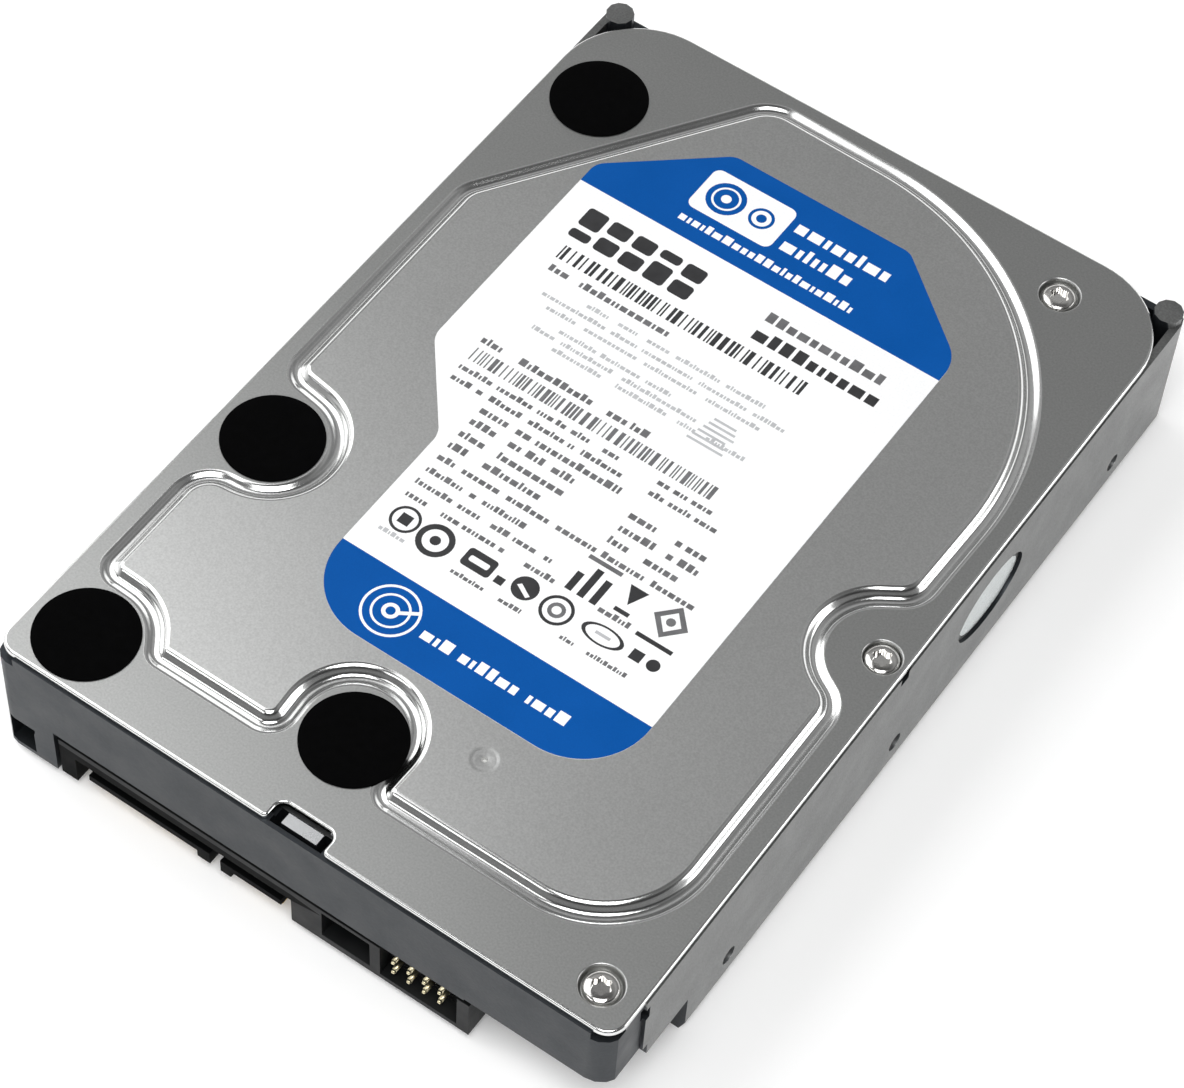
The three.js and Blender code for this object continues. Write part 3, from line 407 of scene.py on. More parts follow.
def build_world():
    """A room that is pale near the horizon and dark above, with a fainter pale band halfway up.
    Towards BEYOND it has its full brightness, and on the opposite side NEAR_SHARE of it."""
    world = bpy.data.worlds.new("studio")
    bpy.context.scene.world = world
    world.use_nodes = True
    tree = world.node_tree
    add, link = tree.nodes.new, tree.links.new
    background = tree.nodes["Background"]
    place = add("ShaderNodeTexCoord")
    split = add("ShaderNodeSeparateXYZ")
    ramp = add("ShaderNodeValToRGB")
    link(place.outputs["Generated"], split.inputs["Vector"])
    link(split.outputs["Z"], ramp.inputs["Fac"])
    stops = ramp.color_ramp.elements
    for height, _ in ROOM_LEVELS[1:-1]:
        stops.new(height)
    for stop, (_, level) in zip(stops, ROOM_LEVELS):
        stop.color = (level, level, level, 1)
    beyond = add("ShaderNodeVectorMath")
    beyond.operation = "DOT_PRODUCT"
    beyond.inputs[1].default_value = BEYOND
    link(place.outputs["Generated"], beyond.inputs[0])
    side = map_range(tree, beyond.outputs["Value"], -0.5, 0.5, NEAR_SHARE, 1.0)
    dimmed = add("ShaderNodeVectorMath")
    dimmed.operation = "SCALE"
    link(ramp.outputs["Color"], dimmed.inputs[0])
    link(side, dimmed.inputs["Scale"])
    link(dimmed.outputs["Vector"], background.inputs["Color"])
    background.inputs["Strength"].default_value = ROOM_STRENGTH


def build_stage():
    half = 3.0
    corners = [(-half, -half, 0), (half, -half, 0), (half, half, 0), (-half, half, 0)]
    mesh = bpy.data.meshes.new("floor")
    mesh.from_pydata(corners, [], [(0, 1, 2, 3)])
    mesh.materials.append(FLOOR)
    floor = bpy.data.objects.new("floor", mesh)
    bpy.context.scene.collection.objects.link(floor)

    area_light("overhead", (0.20, -0.36, 0.82), (0.5, 0.5), 5.4)
    area_light("left_key", (-0.62, -0.05, 0.72), (0.8, 0.8), 4.2)
    area_light("front_left", (-0.33, -0.74, 0.58), (0.5, 0.26), 1.0)
    area_light("right_fill", (0.82, 0.46, 0.26), (0.6, 0.42), 2.0)
    bpy.context.scene.view_settings.view_transform = "Standard"


# ---------------------------------------------------------------- top cover

# height of the stamped step across the groove: distance outward from its middle line, and height
STEP_PROFILE = [
    (-1.95, 26.0), (-1.8, 25.982), (-1.62, 25.93), (-1.45, 25.845), (-1.27, 25.71), (-1.1, 25.52),
    (-0.93, 25.28), (-0.76, 25.04), (-0.56, 24.85), (-0.34, 24.75), (-0.1, 24.70), (0.16, 24.695),
    (0.36, 24.72), (0.54, 24.79), (0.72, 24.895), (0.9, 25.01), (1.08, 25.11), (1.28, 25.175), (1.52, 25.2),
]
# wall of a dimple round a screw: distance outward from its rim, and height
DIMPLE_EDGE = [
    (0.0, 25.2), (-0.14, 25.16), (-0.26, 25.02), (-0.34, 24.7), (-0.4, 24.3), (-0.52, 24.08), (-0.75, 24.0),
]
DIMPLE_FLOOR = DIMPLE_EDGE[-1][1]
SCREW_HOLE = 1.8
# shallow seat round the breather hole: radius and height
BREATHER_SEAT = [(2.2, 26.0), (1.95, 25.99), (1.7, 25.97), (1.5, 25.96), (0.5, 25.96), (0.42, 25.9)]
ROLLED_EDGE = 0.42
ON_PLATEAU, ON_FLANGE, ON_PRESSED = range(3)


def slopes(profile):
    """Rise along the profile at each of its points, flat at both ends."""
    inner = [
        (profile[k + 1][1] - profile[k - 1][1]) / (profile[k + 1][0] - profile[k - 1][0])
        for k in range(1, len(profile) - 1)
    ]
    return [0.0, *inner, 0.0]


class Sheet(Shell):
    """Pressed sheet metal: whatever is made on its top is made on its underside too."""

    def __init__(self):
        super().__init__()
        self.below = {}

    def row(self, loop, z, slope=0.0, under=None):
        """A row on the top at height z, and the row below it at height under, or else a sheet lower."""
        top = self.ring(loop, z, slope)
        low = self.ring(loop, max(z - SHEET, RIM_TOP) if under is None else under, slope)
        for i in low:
            self.normals[i] = -self.normals[i]
        self.below.update(zip(top, low))
        return top

    def rows(self, outline, profile):
        """A row for each (distance, height) of a profile. outline(distance) is its loop."""
        return [self.row(outline(o), z, slope) for (o, z), slope in zip(profile, slopes(profile))]

    def copy_below(self, first, tag):
        for corners in self.faces[first:]:
            self.face([self.below[i] for i in reversed(corners)], tag)

    def band(self, outer, inner, tag):
        first = len(self.faces)
        self.strip(outer, inner, tag)
        self.copy_below(first, tag)

    def flat(self, rows, keep, tag):
        first = len(self.faces)
        self.fill(rows, keep, tag)
        self.copy_below(first, tag)

    def hole(self, loop, top, bottom, tag):
        self.strip(self.wall(loop, top, -1), self.wall(loop, bottom, -1), tag)


def rolled_edge(sheet, steps=5):
    """The quarter round along the cover's outline, and the cut edge below it."""
    under = FLANGE_TOP - SHEET
    rows = []
    for k in range(steps + 1):
        a = math.radians(90 / steps * k)
        offset, z = ROLLED_EDGE * (math.sin(a) - 1), FLANGE_TOP - ROLLED_EDGE * (1 - math.cos(a))
        rows.append(sheet.row(belt(COVER_PEGS, offset, 9), z, -math.tan(min(a, 1.5)), under))
    for inner, outer in zip(rows, rows[1:]):
        sheet.band(outer, inner, ON_PRESSED)
    rim = belt(COVER_PEGS, 0, 9)
    sheet.strip(sheet.wall(rim, under), sheet.wall(rim, FLANGE_TOP - ROLLED_EDGE), ON_PRESSED)
    return rows[0]


def dimple(sheet, x, y, radius):
    """The round pit for a screw head, with the screw's hole in its floor."""
    rows = sheet.rows(lambda r: circle(x, y, r), [(radius + o, z) for o, z in DIMPLE_EDGE])
    hole = circle(x, y, SCREW_HOLE)
    rows.append(sheet.row(hole, DIMPLE_FLOOR))
    for outer, inner in zip(rows, rows[1:]):
        sheet.band(outer, inner, ON_FLANGE)
    sheet.hole(hole, DIMPLE_FLOOR, RIM_TOP, ON_FLANGE)
    return rows[0]


def breather_seat(sheet, x, y, sides=40):
    """The shallow round seat with its small air hole."""
    rows = sheet.rows(lambda r: circle(x, y, r, sides), BREATHER_SEAT)
    for outer, inner in zip(rows, rows[1:]):
        sheet.band(outer, inner, ON_PLATEAU)
    radius, z = BREATHER_SEAT[-1]
    sheet.hole(circle(x, y, radius, sides), z, z - SHEET, ON_PLATEAU)
    return rows[0]


def build_cover():
    sheet = Sheet()
    step = sheet.rows(lambda o: belt(GROOVE_PEGS, o, 5), STEP_PROFILE)
    for inner, outer in zip(step, step[1:]):
        sheet.band(outer, inner, ON_PRESSED)
    edge = rolled_edge(sheet)
    dimples = HIDDEN_SCREWS + OPEN_SCREWS
    pits = [dimple(sheet, *place) for place in dimples]

    groove_loop = belt(GROOVE_PEGS, STEP_PROFILE[-1][0], 5)
    edge_loop = belt(COVER_PEGS, -ROLLED_EDGE, 9)
    pit_loops = [circle(*place) for place in dimples]

    def on_flange(x, y):
        return (
            inside(edge_loop, x, y)
            and not inside(groove_loop, x, y)
            and not any(inside(loop, x, y) for loop in pit_loops)
        )

    sheet.flat([edge, step[-1], *pits], on_flange, ON_FLANGE)

    seat = breather_seat(sheet, *BREATHER)
    plateau_loop = belt(GROOVE_PEGS, STEP_PROFILE[0][0], 5)
    seat_loop = circle(*BREATHER, BREATHER_SEAT[0][0], 40)

    def on_plateau(x, y):
        return inside(plateau_loop, x, y) and not inside(seat_loop, x, y)

    sheet.flat([step[0], seat], on_plateau, ON_PLATEAU)
    sheet.object("cover_sheet", [COVER, FLANGE, PRESSED], "cover", ["top_cover"])


# ---------------------------------------------------------------- label


class Print:
    """Flat shapes printed on the label, whose outline is the first shape. Later shapes cover earlier ones."""

    def __init__(self):
        self.shapes = []

    def shape(self, corners, tag):
        self.shapes.append(([(x, y, 0.0) for x, y in corners], tag))

    def mesh(self):
        """Points, triangles and the ink of each triangle, all in one plane."""
        points, edges, cells = [], [], {}
        for number, (corners, _) in enumerate(self.shapes):
            first, count = len(points), len(corners)
            points += [Vector(c[:2]) for c in corners]
            edges += [(first + k, first + (k + 1) % count) for k in range(count)]
            xs, ys = [c[0] for c in corners], [c[1] for c in corners]
            for i in range(math.floor(min(xs)), math.floor(max(xs)) + 1):
                for j in range(math.floor(min(ys)), math.floor(max(ys)) + 1):
                    cells.setdefault((i, j), []).append(number)
        made, _, triangles, _, _, _ = delaunay_2d_cdt(points, edges, [], 0, 1e-5)
        faces, tags = [], []
        for t in triangles:
            x, y = (sum(made[k][axis] for k in t) / 3 for axis in (0, 1))
            near = cells.get((math.floor(x), math.floor(y)), [])
            over = [n for n in near if inside(self.shapes[n][0], x, y)]
            if 0 in over:
                faces.append(tuple(t))
                tags.append(self.shapes[max(over)][1])
        return made, faces, tags

    def bar(self, x0, x1, y0, y1, tag):
        self.shape([(x0, y0), (x1, y0), (x1, y1), (x0, y1)], tag)

    def ring(self, x, y, inner, outer, tag, flatten=1.0, steps=28):
        """A ring made of wedges, or a full disc where inner is 0."""
        for k in range(steps):
            a, b = (math.radians(360 * (k + d) / steps) for d in (0, 1))
            wedge = [(inner, a), (outer, a), (outer, b)]
            if inner:
                wedge.append((inner, b))
            self.shape([(x + r * math.cos(t), y + r * math.sin(t) * flatten) for r, t in wedge], tag)

    def round_box(self, x0, x1, y0, y1, radius, tag):
        pegs = [(x0 + radius, y0 + radius, radius), (x1 - radius, y0 + radius, radius),
                (x1 - radius, y1 - radius, radius), (x0 + radius, y1 - radius, radius)]
        self.shape([(px, py) for px, py, _ in belt(pegs, 0, 15)], tag)


WHITE, BLUE, BLACK, GREY, FAINT = range(5)


def filler(ink, draw, x0, x1, y0, y1, tag):
    """A run of plain blocks of mixed width and height, which stands for a line of small print."""
    line = y1 - y0
    widest, gap = line * 0.62, line * 0.2
    x = x0
    while x < x1 - line * 0.3:
        width = min(widest * draw.choice((0.45, 0.8, 1, 1.25)), x1 - x)
        height = draw.choice((0.62, 0.62, 0.62, 0.85))
        ink.bar(x, x + width, y0 + line * 0.1, y0 + line * (0.1 + height), tag)
        x += width + gap


def stripes(ink, draw, x0, x1, y0, y1, tag, unit=0.26):
    """A row of upright bars of mixed width."""
    x = x0
    while x < x1 - unit * 3:
        width = unit * draw.choice((1, 1, 1, 2, 2, 3))
        ink.bar(x, x + width, y0, y1, tag)
        x += width + unit * draw.choice((1, 1, 2, 2, 3))


# small print: the lower edge of each line, and where its runs start and end
FAINT_HEIGHT = 0.95
FAINT_LINES = [
    (20.6, ((-19.5, -15.4), (-14, -10.4), (-9, -5.2), (-4, 3.4), (4.6, 11.2))),
    (18.7, ((-26, -15), (-14, -9.4), (-8.6, 0.4), (1.2, 9.2), (10.4, 16))),
    (16.9, ((-24, -18.6), (-17.4, -8.4), (-7, 2.2), (3.6, 12.6))),
    (14.4, ((-20, -13.6), (-12.8, -6), (-5, -0.4))),
    (12.8, ((-23.6, -19.8), (-18.6, -9.4), (-8, 4.6))),
    (11.2, ((-19, -10.6), (-8, 0.6), (2.6, 6), (7.4, 14))),
]
# the same, with each line's upper edge too
GREY_LINES = [
    (6.4, 7.9, ((-28, -24), (-21.4, -8.8), (-6.2, -3), (-2.2, 0.8))),
    (0.8, 2.0, (
        (-27.8, -22.2), (-21.2, -15.2), (-14.2, -11.6), (-11, -9.2), (-8.4, -5.4), (-3, -0.4), (6.3, 8.2),
        (9, 11.2), (12, 15.8),
    )),
    (-1.4, -0.2, (
        (-27.6, -24), (-23.2, -22), (-21, -15.4), (-14.2, -8.2), (-7.4, -6.2), (-5.2, 1.6), (6.3, 8.8),
        (9.6, 13.2), (14, 17.8),
    )),
    (-3.9, -2.4, ((-20.8, -15.8), (-14.6, -11.8), (-11.2, 3.4))),
    (-6.3, -4.8, (
        (-20.8, -16.2), (-14.2, -12.2), (-11.2, -7.8), (-6.8, -2.8), (6.3, 11.2), (14.1, 15), (15.8, 19),
    )),
    (-8.9, -7.4, ((-20.8, -16.6), (-14.2, -2.6), (6.4, 12.2), (14.3, 15.4), (16.2, 19.4))),
    (-11.4, -9.9, ((-20.8, -17.4), (-14.9, -5.2), (6.3, 9.8), (12.3, 18.3))),
    (-13.9, -12.6, ((-20.8, -18), (-16.6, -10.4), (-9, -2), (-0.6, 6), (7, 14), (15.2, 22.3))),
    (-16.5, -15.3, ((-20.8, -14.4), (-13.4, -12), (-11.2, -3.9))),
    (-19.0, -17.8, ((-20.8, -14.6), (-13.6, -10), (-8, -5), (-4.2, 0), (1, 2.2))),
    (-21.5, -20.3, ((-20.6, -16.8), (-14.6, -11.6), (-11, -5.4), (-4.8, -3.8), (-0.5, 4.4), (11.8, 17.2))),
]


def print_top_band(ink, draw):
    """A plain box with a disc symbol, and filler lines."""
    ink.round_box(-19, -4.5, 45.4, 54, 1.3, WHITE)
    ink.ring(-14.6, 49.7, 0, 3.1, BLUE)
    ink.ring(-14.6, 49.7, 1.9, 2.25, WHITE)
    ink.ring(-14.6, 49.7, 0, 0.8, WHITE, steps=18)
    ink.ring(-8.4, 49.7, 1.5, 2.0, BLUE)
    ink.ring(-8.4, 49.7, 0, 0.8, BLUE, steps=18)
    filler(ink, draw, -3.3, 12.6, 50.2, 53.0, WHITE)
    filler(ink, draw, -3.3, 9.2, 46.2, 49.0, WHITE)
    filler(ink, draw, -18.4, 11.6, 42.3, 44.1, WHITE)


def print_middle(ink, draw):
    """A bold row of split blocks, as on a level gauge, rows of upright bars, and lines of small print."""
    pitch, width, low, tall, gap, corner = 4.35, 3.5, 30.2, 6.3, 0.9, 0.6
    for k, split in enumerate((0.34, 0.5, 0.5, 0.66, 0.5)):
        x, middle = -29.6 + pitch * k, low + tall * split
        ink.round_box(x, x + width, low, middle - gap / 2, corner, BLACK)
        ink.round_box(x, x + width, middle + gap / 2, low + tall, corner, BLACK)
    filler(ink, draw, 2.4, 23.0, 33.9, 36.1, GREY)
    filler(ink, draw, 2.5, 23.6, 30.0, 32.8, BLACK)
    stripes(ink, draw, -28.4, 14.6, 25.7, 28.4, BLACK)
    filler(ink, draw, -28.0, -24.6, 23.0, 24.5, GREY)
    filler(ink, draw, -22.6, -7.2, 23.0, 24.5, GREY)
    for low, runs in FAINT_LINES:
        for x0, x1 in runs:
            filler(ink, draw, x0, x1, low, low + FAINT_HEIGHT, FAINT)
    for k in range(6):
        ink.bar(5 + 0.3 * k, 11 - 0.4 * (k % 3), 10.2 + 0.95 * k, 10.6 + 0.95 * k, FAINT)
    for low, high, runs in GREY_LINES:
        for x0, x1 in runs:
            filler(ink, draw, x0, x1, low, high, GREY)
    stripes(ink, draw, -27.6, 14, 3.0, 5.5, GREY, 0.22)


def print_symbols(ink, draw):
    """Plain round and square symbols near the lower edge of the white."""
    for k, height in enumerate((3.4, 5.3, 4.4)):
        ink.bar(6 + 2 * k, 7.1 + 2 * k, -20.9, -20.9 + height, BLACK)
    ink.bar(5.8, 11.3, -14.9, -14.2, GREY)
    ink.shape([(13.1, -15), (14.6, -18.2), (16.1, -15)], BLACK)
    ink.bar(13.4, 15.8, -19.9, -19.2, BLACK)
    ink.shape([(21, -20), (23.8, -17), (21, -14), (18.2, -17)], GREY)
    ink.shape([(21, -18.9), (22.7, -17), (21, -15.1), (19.3, -17)], WHITE)
    ink.ring(21, -17, 0, 0.7, GREY, steps=14)
    ink.bar(18.1, 24, -21.5, -20.8, BLACK)
    ink.ring(-18, -24.7, 1.85, 2.3, BLACK)
    ink.bar(-18.9, -17.1, -25.6, -23.8, BLACK)
    ink.ring(-12.6, -25.1, 1.9, 2.8, BLACK)
    ink.ring(-12.6, -25.1, 0, 0.8, BLACK, steps=18)
    ink.round_box(-8, -3.2, -26.1, -22.9, 0.6, BLACK)
    ink.round_box(-7.2, -4, -25.0, -24.0, 0.3, WHITE)
    ink.bar(-2.4, -1, -25.9, -24.6, BLACK)
    ink.ring(1.9, -24.2, 0, 2.0, BLACK)
    ink.shape([(0.6, -24.3), (2.8, -25.5), (3.2, -25), (1.1, -23.8)], WHITE)
    ink.ring(7.4, -24.6, 2.0, 2.5, BLACK)
    ink.ring(7.4, -24.6, 0.7, 1.3, GREY, steps=18)
    ink.ring(14.8, -24.3, 2.7, 3.35, BLACK, flatten=0.48)
    ink.bar(13.6, 16, -24.5, -24.0, FAINT)
    ink.bar(19.4, 21.2, -25.1, -23.3, BLACK)
    ink.ring(23, -24.2, 0, 1.0, BLACK, steps=18)
    for x0, x1 in ((-20.2, -15.6), (-8, -2.6), (0, 3.8), (10.2, 12.6), (14.6, 21.2)):
        filler(ink, draw, x0, x1, -28.2, -27.3, FAINT if x0 < -10 else GREY)


def print_bottom_band(ink, draw):
    """Rings with an arm, and a filler line."""
    ink.ring(-10.6, -38, 3.9, 4.3, WHITE, steps=40)
    ink.ring(-10.6, -38, 2.5, 2.85, WHITE, steps=32)
    ink.ring(-10.6, -38, 0.7, 1.3, WHITE, steps=20)
    ink.shape([(-9.6, -37.4), (-9.3, -37.9), (-6.9, -36.3), (-7.3, -35.9)], WHITE)
    filler(ink, draw, -5.0, 0.2, -39.4, -37.2, WHITE)
    filler(ink, draw, 1.3, 11.2, -39.4, -37.2, WHITE)
    filler(ink, draw, 12.4, 19.8, -39.4, -37.2, WHITE)


def build_label():
    loop = belt(LABEL_PEGS, 0, 5)
    ink = Print()
    draw = random.Random(7)
    ink.shape([(x, y) for x, y, _ in loop], WHITE)
    ink.bar(-40, 40, 39.9, 62, BLUE)
    ink.bar(-40, 40, -50, -32.3, BLUE)
    print_top_band(ink, draw)
    print_middle(ink, draw)
    print_symbols(ink, draw)
    print_bottom_band(ink, draw)

    made, faces, tags = ink.mesh()
    shell = Shell()
    for v in made:
        shell.point(v.x, v.y, LABEL_TOP)
    for corners, tag in zip(faces, tags):
        shell.face(corners, tag)
    shell.strip(shell.wall(loop, PLATEAU_TOP), shell.wall(loop, LABEL_TOP), WHITE)
    low = shell.ring(loop, PLATEAU_TOP)
    for i in low:
        shell.normals[i] = -UP
    shell.fill([low], lambda x, y: inside(loop, x, y), WHITE, flip=True)
    inks = [PAPER, BLUE_INK, BLACK_INK, GREY_INK, FAINT_INK]
    shell.object("label_sheet", inks, "label", ["product_label"])


# ---------------------------------------------------------------- small turned pieces


def turned(shell, profile, x, y, segments, lobes=0, depth=0.0, lobe_rows=()):
    """Turns (radius, height) points about an upright axis. The first and last point lie on the axis.
    The rows in lobe_rows are wavy, as a star socket is."""
    rows = []
    for k, (r, z) in enumerate(profile):
        if r == 0:
            rows.append([shell.point(x, y, z)] * segments)
            continue
        loop = []
        for x1, y1, a in circle(0, 0, 1, segments):
            reach = r + (depth * math.cos(lobes * a) if k in lobe_rows else 0)
            loop.append((x + reach * x1, y + reach * y1, a))
        rows.append(shell.ring(loop, z))
    for low, high in zip(rows, rows[1:]):
        for i in range(segments):
            j = (i + 1) % segments
            corners = [low[i], low[j], high[j], high[i]]
            unique = [c for n, c in enumerate(corners) if c not in corners[:n]]
            if len(unique) > 2:
                shell.face(unique)


def build_discs():
    low, radius = FLANGE_TOP, 7.5
    high = low + 0.3
    profile = [
        (0, low), (radius - 0.1, low), (radius, low + 0.06), (radius, high - 0.12),
        (radius - 0.06, high - 0.04), (radius - 0.2, high), (5.0, high), (2.5, high), (0, high),
    ]
    for k, (x, y) in enumerate(DISCS):
        shell = Shell()
        turned(shell, profile, x, y, 72)
        made = shell.object(f"disc_pad_{k + 1}", [FELT], "black", [f"cover_disc_{k + 1}"], own_normals=False)
        shade(made, 40)


def screw_head(name, replaced, x, y, seat, up, radius, height):
    """A button-head screw with a star socket. up is 1 or -1."""
    shell = Shell()
    deep = height - min(0.75, height * 0.7)
    socket = radius * 0.5
    head = [
        (0, 0), (radius * 0.95, 0), (radius, 0.06), (radius, height * 0.42), (radius * 0.97, height * 0.62),
        (radius * 0.88, height * 0.82), (radius * 0.74, height * 0.94), (radius * 0.62, height * 0.99),
    ]
    star = [(socket + 0.06, height), (socket, height - 0.05), (socket * 0.98, deep)]
    profile = [(r, seat + up * h) for r, h in (*head, *star, (0, deep))]
    star_rows = range(len(head), len(head) + len(star))
    turned(shell, profile, x, y, 72, lobes=6, depth=socket * 0.13, lobe_rows=star_rows)
    if up < 0:
        shell.faces = [corners[::-1] for corners in shell.faces]
    made = shell.object(name, [SCREW], "screw", [replaced], own_normals=False)
    shade(made, 30)


def build_screws():
    """The open screws come after the hidden ones in the CAD model's count."""
    for k, (x, y, _) in enumerate(OPEN_SCREWS):
        replaced = f"cover_screw_{len(HIDDEN_SCREWS) + k + 1}"
        screw_head(f"button_screw_{k + 1}", replaced, x, y, DIMPLE_FLOOR, 1, radius=2.55, height=1.1)


# ---------------------------------------------------------------- CAD nodes that keep their shape


def dress(name, *materials, bevel, choose=None, segments=2, angle_deg=32):
    """Gives a CAD node its surfaces and rounded edges. choose picks a surface by number, from a face's
    middle, in mm, and its direction."""
    obj = nodes[name]
    mesh = obj.data
    mesh.materials.clear()
    for material in materials:
        mesh.materials.append(material)
    picked = [choose(p.center / MM, p.normal) if choose else 0 for p in mesh.polygons]
    mesh.polygons.foreach_set("material_index", picked)
    soften(obj, bevel, segments, angle_deg)


SIDE_HOLES = [(y, 6.35) for y in (-45.0, -3.4, 56.6)]
BOTTOM_HOLES = [(x, y) for x in (-47.62, 47.62) for y in (-32.22, 12.23, 43.98)]
HOLE_R = 1.75
# the third surface is a lighter copy of the cast skin, which is painted light
CAST, MILLED, PAINTED_LIGHT = range(3)
# the round posts at the front corners of the casting
POST_X, POST_Y, POST_R, POST_LOW = 48.4, 71.1, 2.3, 22.7
FRONT_WALL_Y = 69


def casting_surface(place, facing):
    """The casting is bare metal where it was milled: its mounting holes, its feet, the seat of the cover
    and the tab at the front. Its long sides, its posts and the ledge beside the cover get a lighter copy
    of its cast skin, which is painted light."""
    x, y, z = place
    off_centre = abs(x)
    upward = facing.z > 0.9
    in_side = abs(facing.x) < 0.3 and any(math.hypot(y - hy, z - hz) < HOLE_R for hy, hz in SIDE_HOLES)
    in_foot = abs(facing.z) < 0.3 and any(math.hypot(x - hx, y - hy) < HOLE_R for hx, hy in BOTTOM_HOLES)
    on_foot = z < 0.05 and facing.z < -0.9
    on_seat = upward and abs(z - RIM_TOP) < 0.1 and abs(y) < FRONT_WALL_Y
    on_tab = upward and z > FLANGE_TOP - 0.6 and off_centre < 4
    if in_side or in_foot or on_foot or on_seat or on_tab:
        return MILLED
    # painted light: the lit long sides and posts, and the ledge in the cover's shade, get the lighter copy of
    # the cast skin
    on_side = abs(facing.x) > 0.6 and off_centre > 49.5 and (y > -65.8 or x < 0)
    on_post = z > POST_LOW and math.hypot(off_centre - POST_X, y - POST_Y) < POST_R
    on_ledge = z > RIM_TOP + 0.2 and off_centre > 48.5 and abs(y) < FRONT_WALL_Y
    return PAINTED_LIGHT if on_side or on_post or on_ledge else CAST


def build_shell_parts():
    dress("base_casting", CASTING, MACHINED, LIT_CAST_SKIN, choose=casting_surface, bevel=0.28)
    dress("cover_gasket", RUBBER, bevel=0.1)
    dress("side_port_seal", FOIL, bevel=0.06)
    dress("breather_filter", FILTER, bevel=0.3)
    for k in range(4):
        dress(f"cover_screw_{k + 1}", SCREW, bevel=0.12)


def build_magnets_and_arms():
    for side in ("lower", "upper"):
        dress(f"{side}_yoke", NICKEL, bevel=0.25, angle_deg=40)
        dress(f"{side}_magnet", MAGNET, bevel=0.2, angle_deg=40)
    for k in (1, 2):
        dress(f"yoke_screw_{k}", STEEL, bevel=0.15)
    dress("actuator_arm", MACHINED, bevel=0.12, angle_deg=40)
    dress("pivot_sleeve", STEEL, bevel=0.12)
    dress("voice_coil", COPPER, bevel=0.3, segments=3, angle_deg=40)
    for k in range(4):
        dress(f"head_suspension_{k + 1}", STEEL, bevel=0.04, angle_deg=40)
    dress("arm_flex", POLYIMIDE, bevel=0.08)
    dress("head_ramp", RAMP, bevel=0.2)
    dress("pivot_shaft", STEEL, bevel=0.12)
    dress("flex_bracket", PLASTIC, bevel=0.2)
    dress("crash_stop", RUBBER, bevel=0.3)
    dress("recirculation_filter", FILTER, bevel=0.35)
    dress("latch_pin", STEEL, bevel=0.12)
    dress("latch_lever", PLASTIC, bevel=0.15, angle_deg=40)


def build_motor_inside():
    dress("motor_stator", COPPER, bevel=0.25, angle_deg=40)
    dress("rotor_magnet", MAGNET, bevel=0.08)
    dress("spindle_hub", MACHINED, bevel=0.15)
    dress("platter_spacer", MACHINED, bevel=0.08)
    dress("disc_clamp", NICKEL, bevel=0.1)
    for k in range(3):
        dress(f"clamp_screw_{k + 1}", STEEL, bevel=0.12)
    for k in (1, 2):
        low, high = (corner.z / MM for corner in map(Vector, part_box(f"platter_{k}")))
        shell = Shell()
        x, y = SPINDLE
        inner, outer, lip = 12.6, 47.5, 0.12
        section = [
            (inner, low + lip), (inner, high - lip), (inner + lip, high), (outer - lip, high),
            (outer, high - lip), (outer, low + lip), (outer - lip, low), (inner + lip, low),
        ]
        rows = [shell.ring(circle(x, y, r, PLATTER_SIDES), z) for r, z in section]
        for a, b in zip(rows, rows[1:] + rows[:1]):
            shell.strip(b, a)
        made = shell.object(f"mirror_platter_{k}", [PLATTER], "platter", [f"platter_{k}"], "rotor", False)
        shade(made, 30)


# ---------------------------------------------------------------- motor base, connectors and board


def build_motor_base():
    """The turned aluminium cup of the motor, seen from below through the notch in the board."""
    shell = Shell()
    low = 3.2
    profile = [
        (0, low + 0.25), (2.2, low + 0.25), (2.5, low), (4.2, low), (4.5, low + 0.4), (6.6, low + 0.4),
        (6.9, low + 0.1), (12.6, low + 0.1), (12.9, low + 0.5), (14.0, low + 0.5), (14.3, low), (17.8, low),
        (18, low + 0.2), (18, 4.0), (17.8, 4.2), (15.4, 4.2), (15.4, 6.85), (15.25, 7), (4.75, 7),
        (4.6, 7.15), (4.6, 15.85), (4.45, 16), (2.5, 16), (2.35, 15.85), (2.35, 5.4), (0, 5.4),
    ]
    turned(shell, profile, *SPINDLE, segments=96)
    made = shell.object("motor_cup", [MACHINED], "machined", ["motor_base"], own_normals=False)
    shade(made, 30)


def slab(shell, corners, low, high, tag=0):
    """A flat plate with upright sides. Its corners go round counter-clockwise seen from above."""
    bottom, top = ([shell.point(x, y, z) for x, y in corners] for z in (low, high))
    shell.face(bottom[::-1], tag)
    shell.face(top, tag)
    shell.strip(bottom, top, tag)


def frustum(shell, x, z, y0, y1, half0, half1):
    """A square bar along Y that narrows from half0 at y0 to half1 at y1."""
    square = ((-1, -1), (1, -1), (1, 1), (-1, 1))
    near = [shell.point(x + half0 * dx, y0, z + half0 * dz) for dx, dz in square]
    far = [shell.point(x + half1 * dx, y1, z + half1 * dz) for dx, dz in square]
    shell.face(near)
    shell.face(far[::-1])
    shell.strip(far, near)


def housing_surface(place, facing):
    """The tongues and their guide get a blacker copy of the plastic than the bays, as painted shade."""
    beside_bays = place.x < -1.2
    low = place.z < 7 or place.z < 8.5 and facing.z < 0.5
    return 1 if beside_bays and low else 0


PIN_PITCH, PIN_HALF = 2.54, 0.32
PIN_CENTRE = (19.45, 5.87)
PIN_BASE, PIN_SHOULDER, PIN_TIP = -70.6, -72.5, -72.9


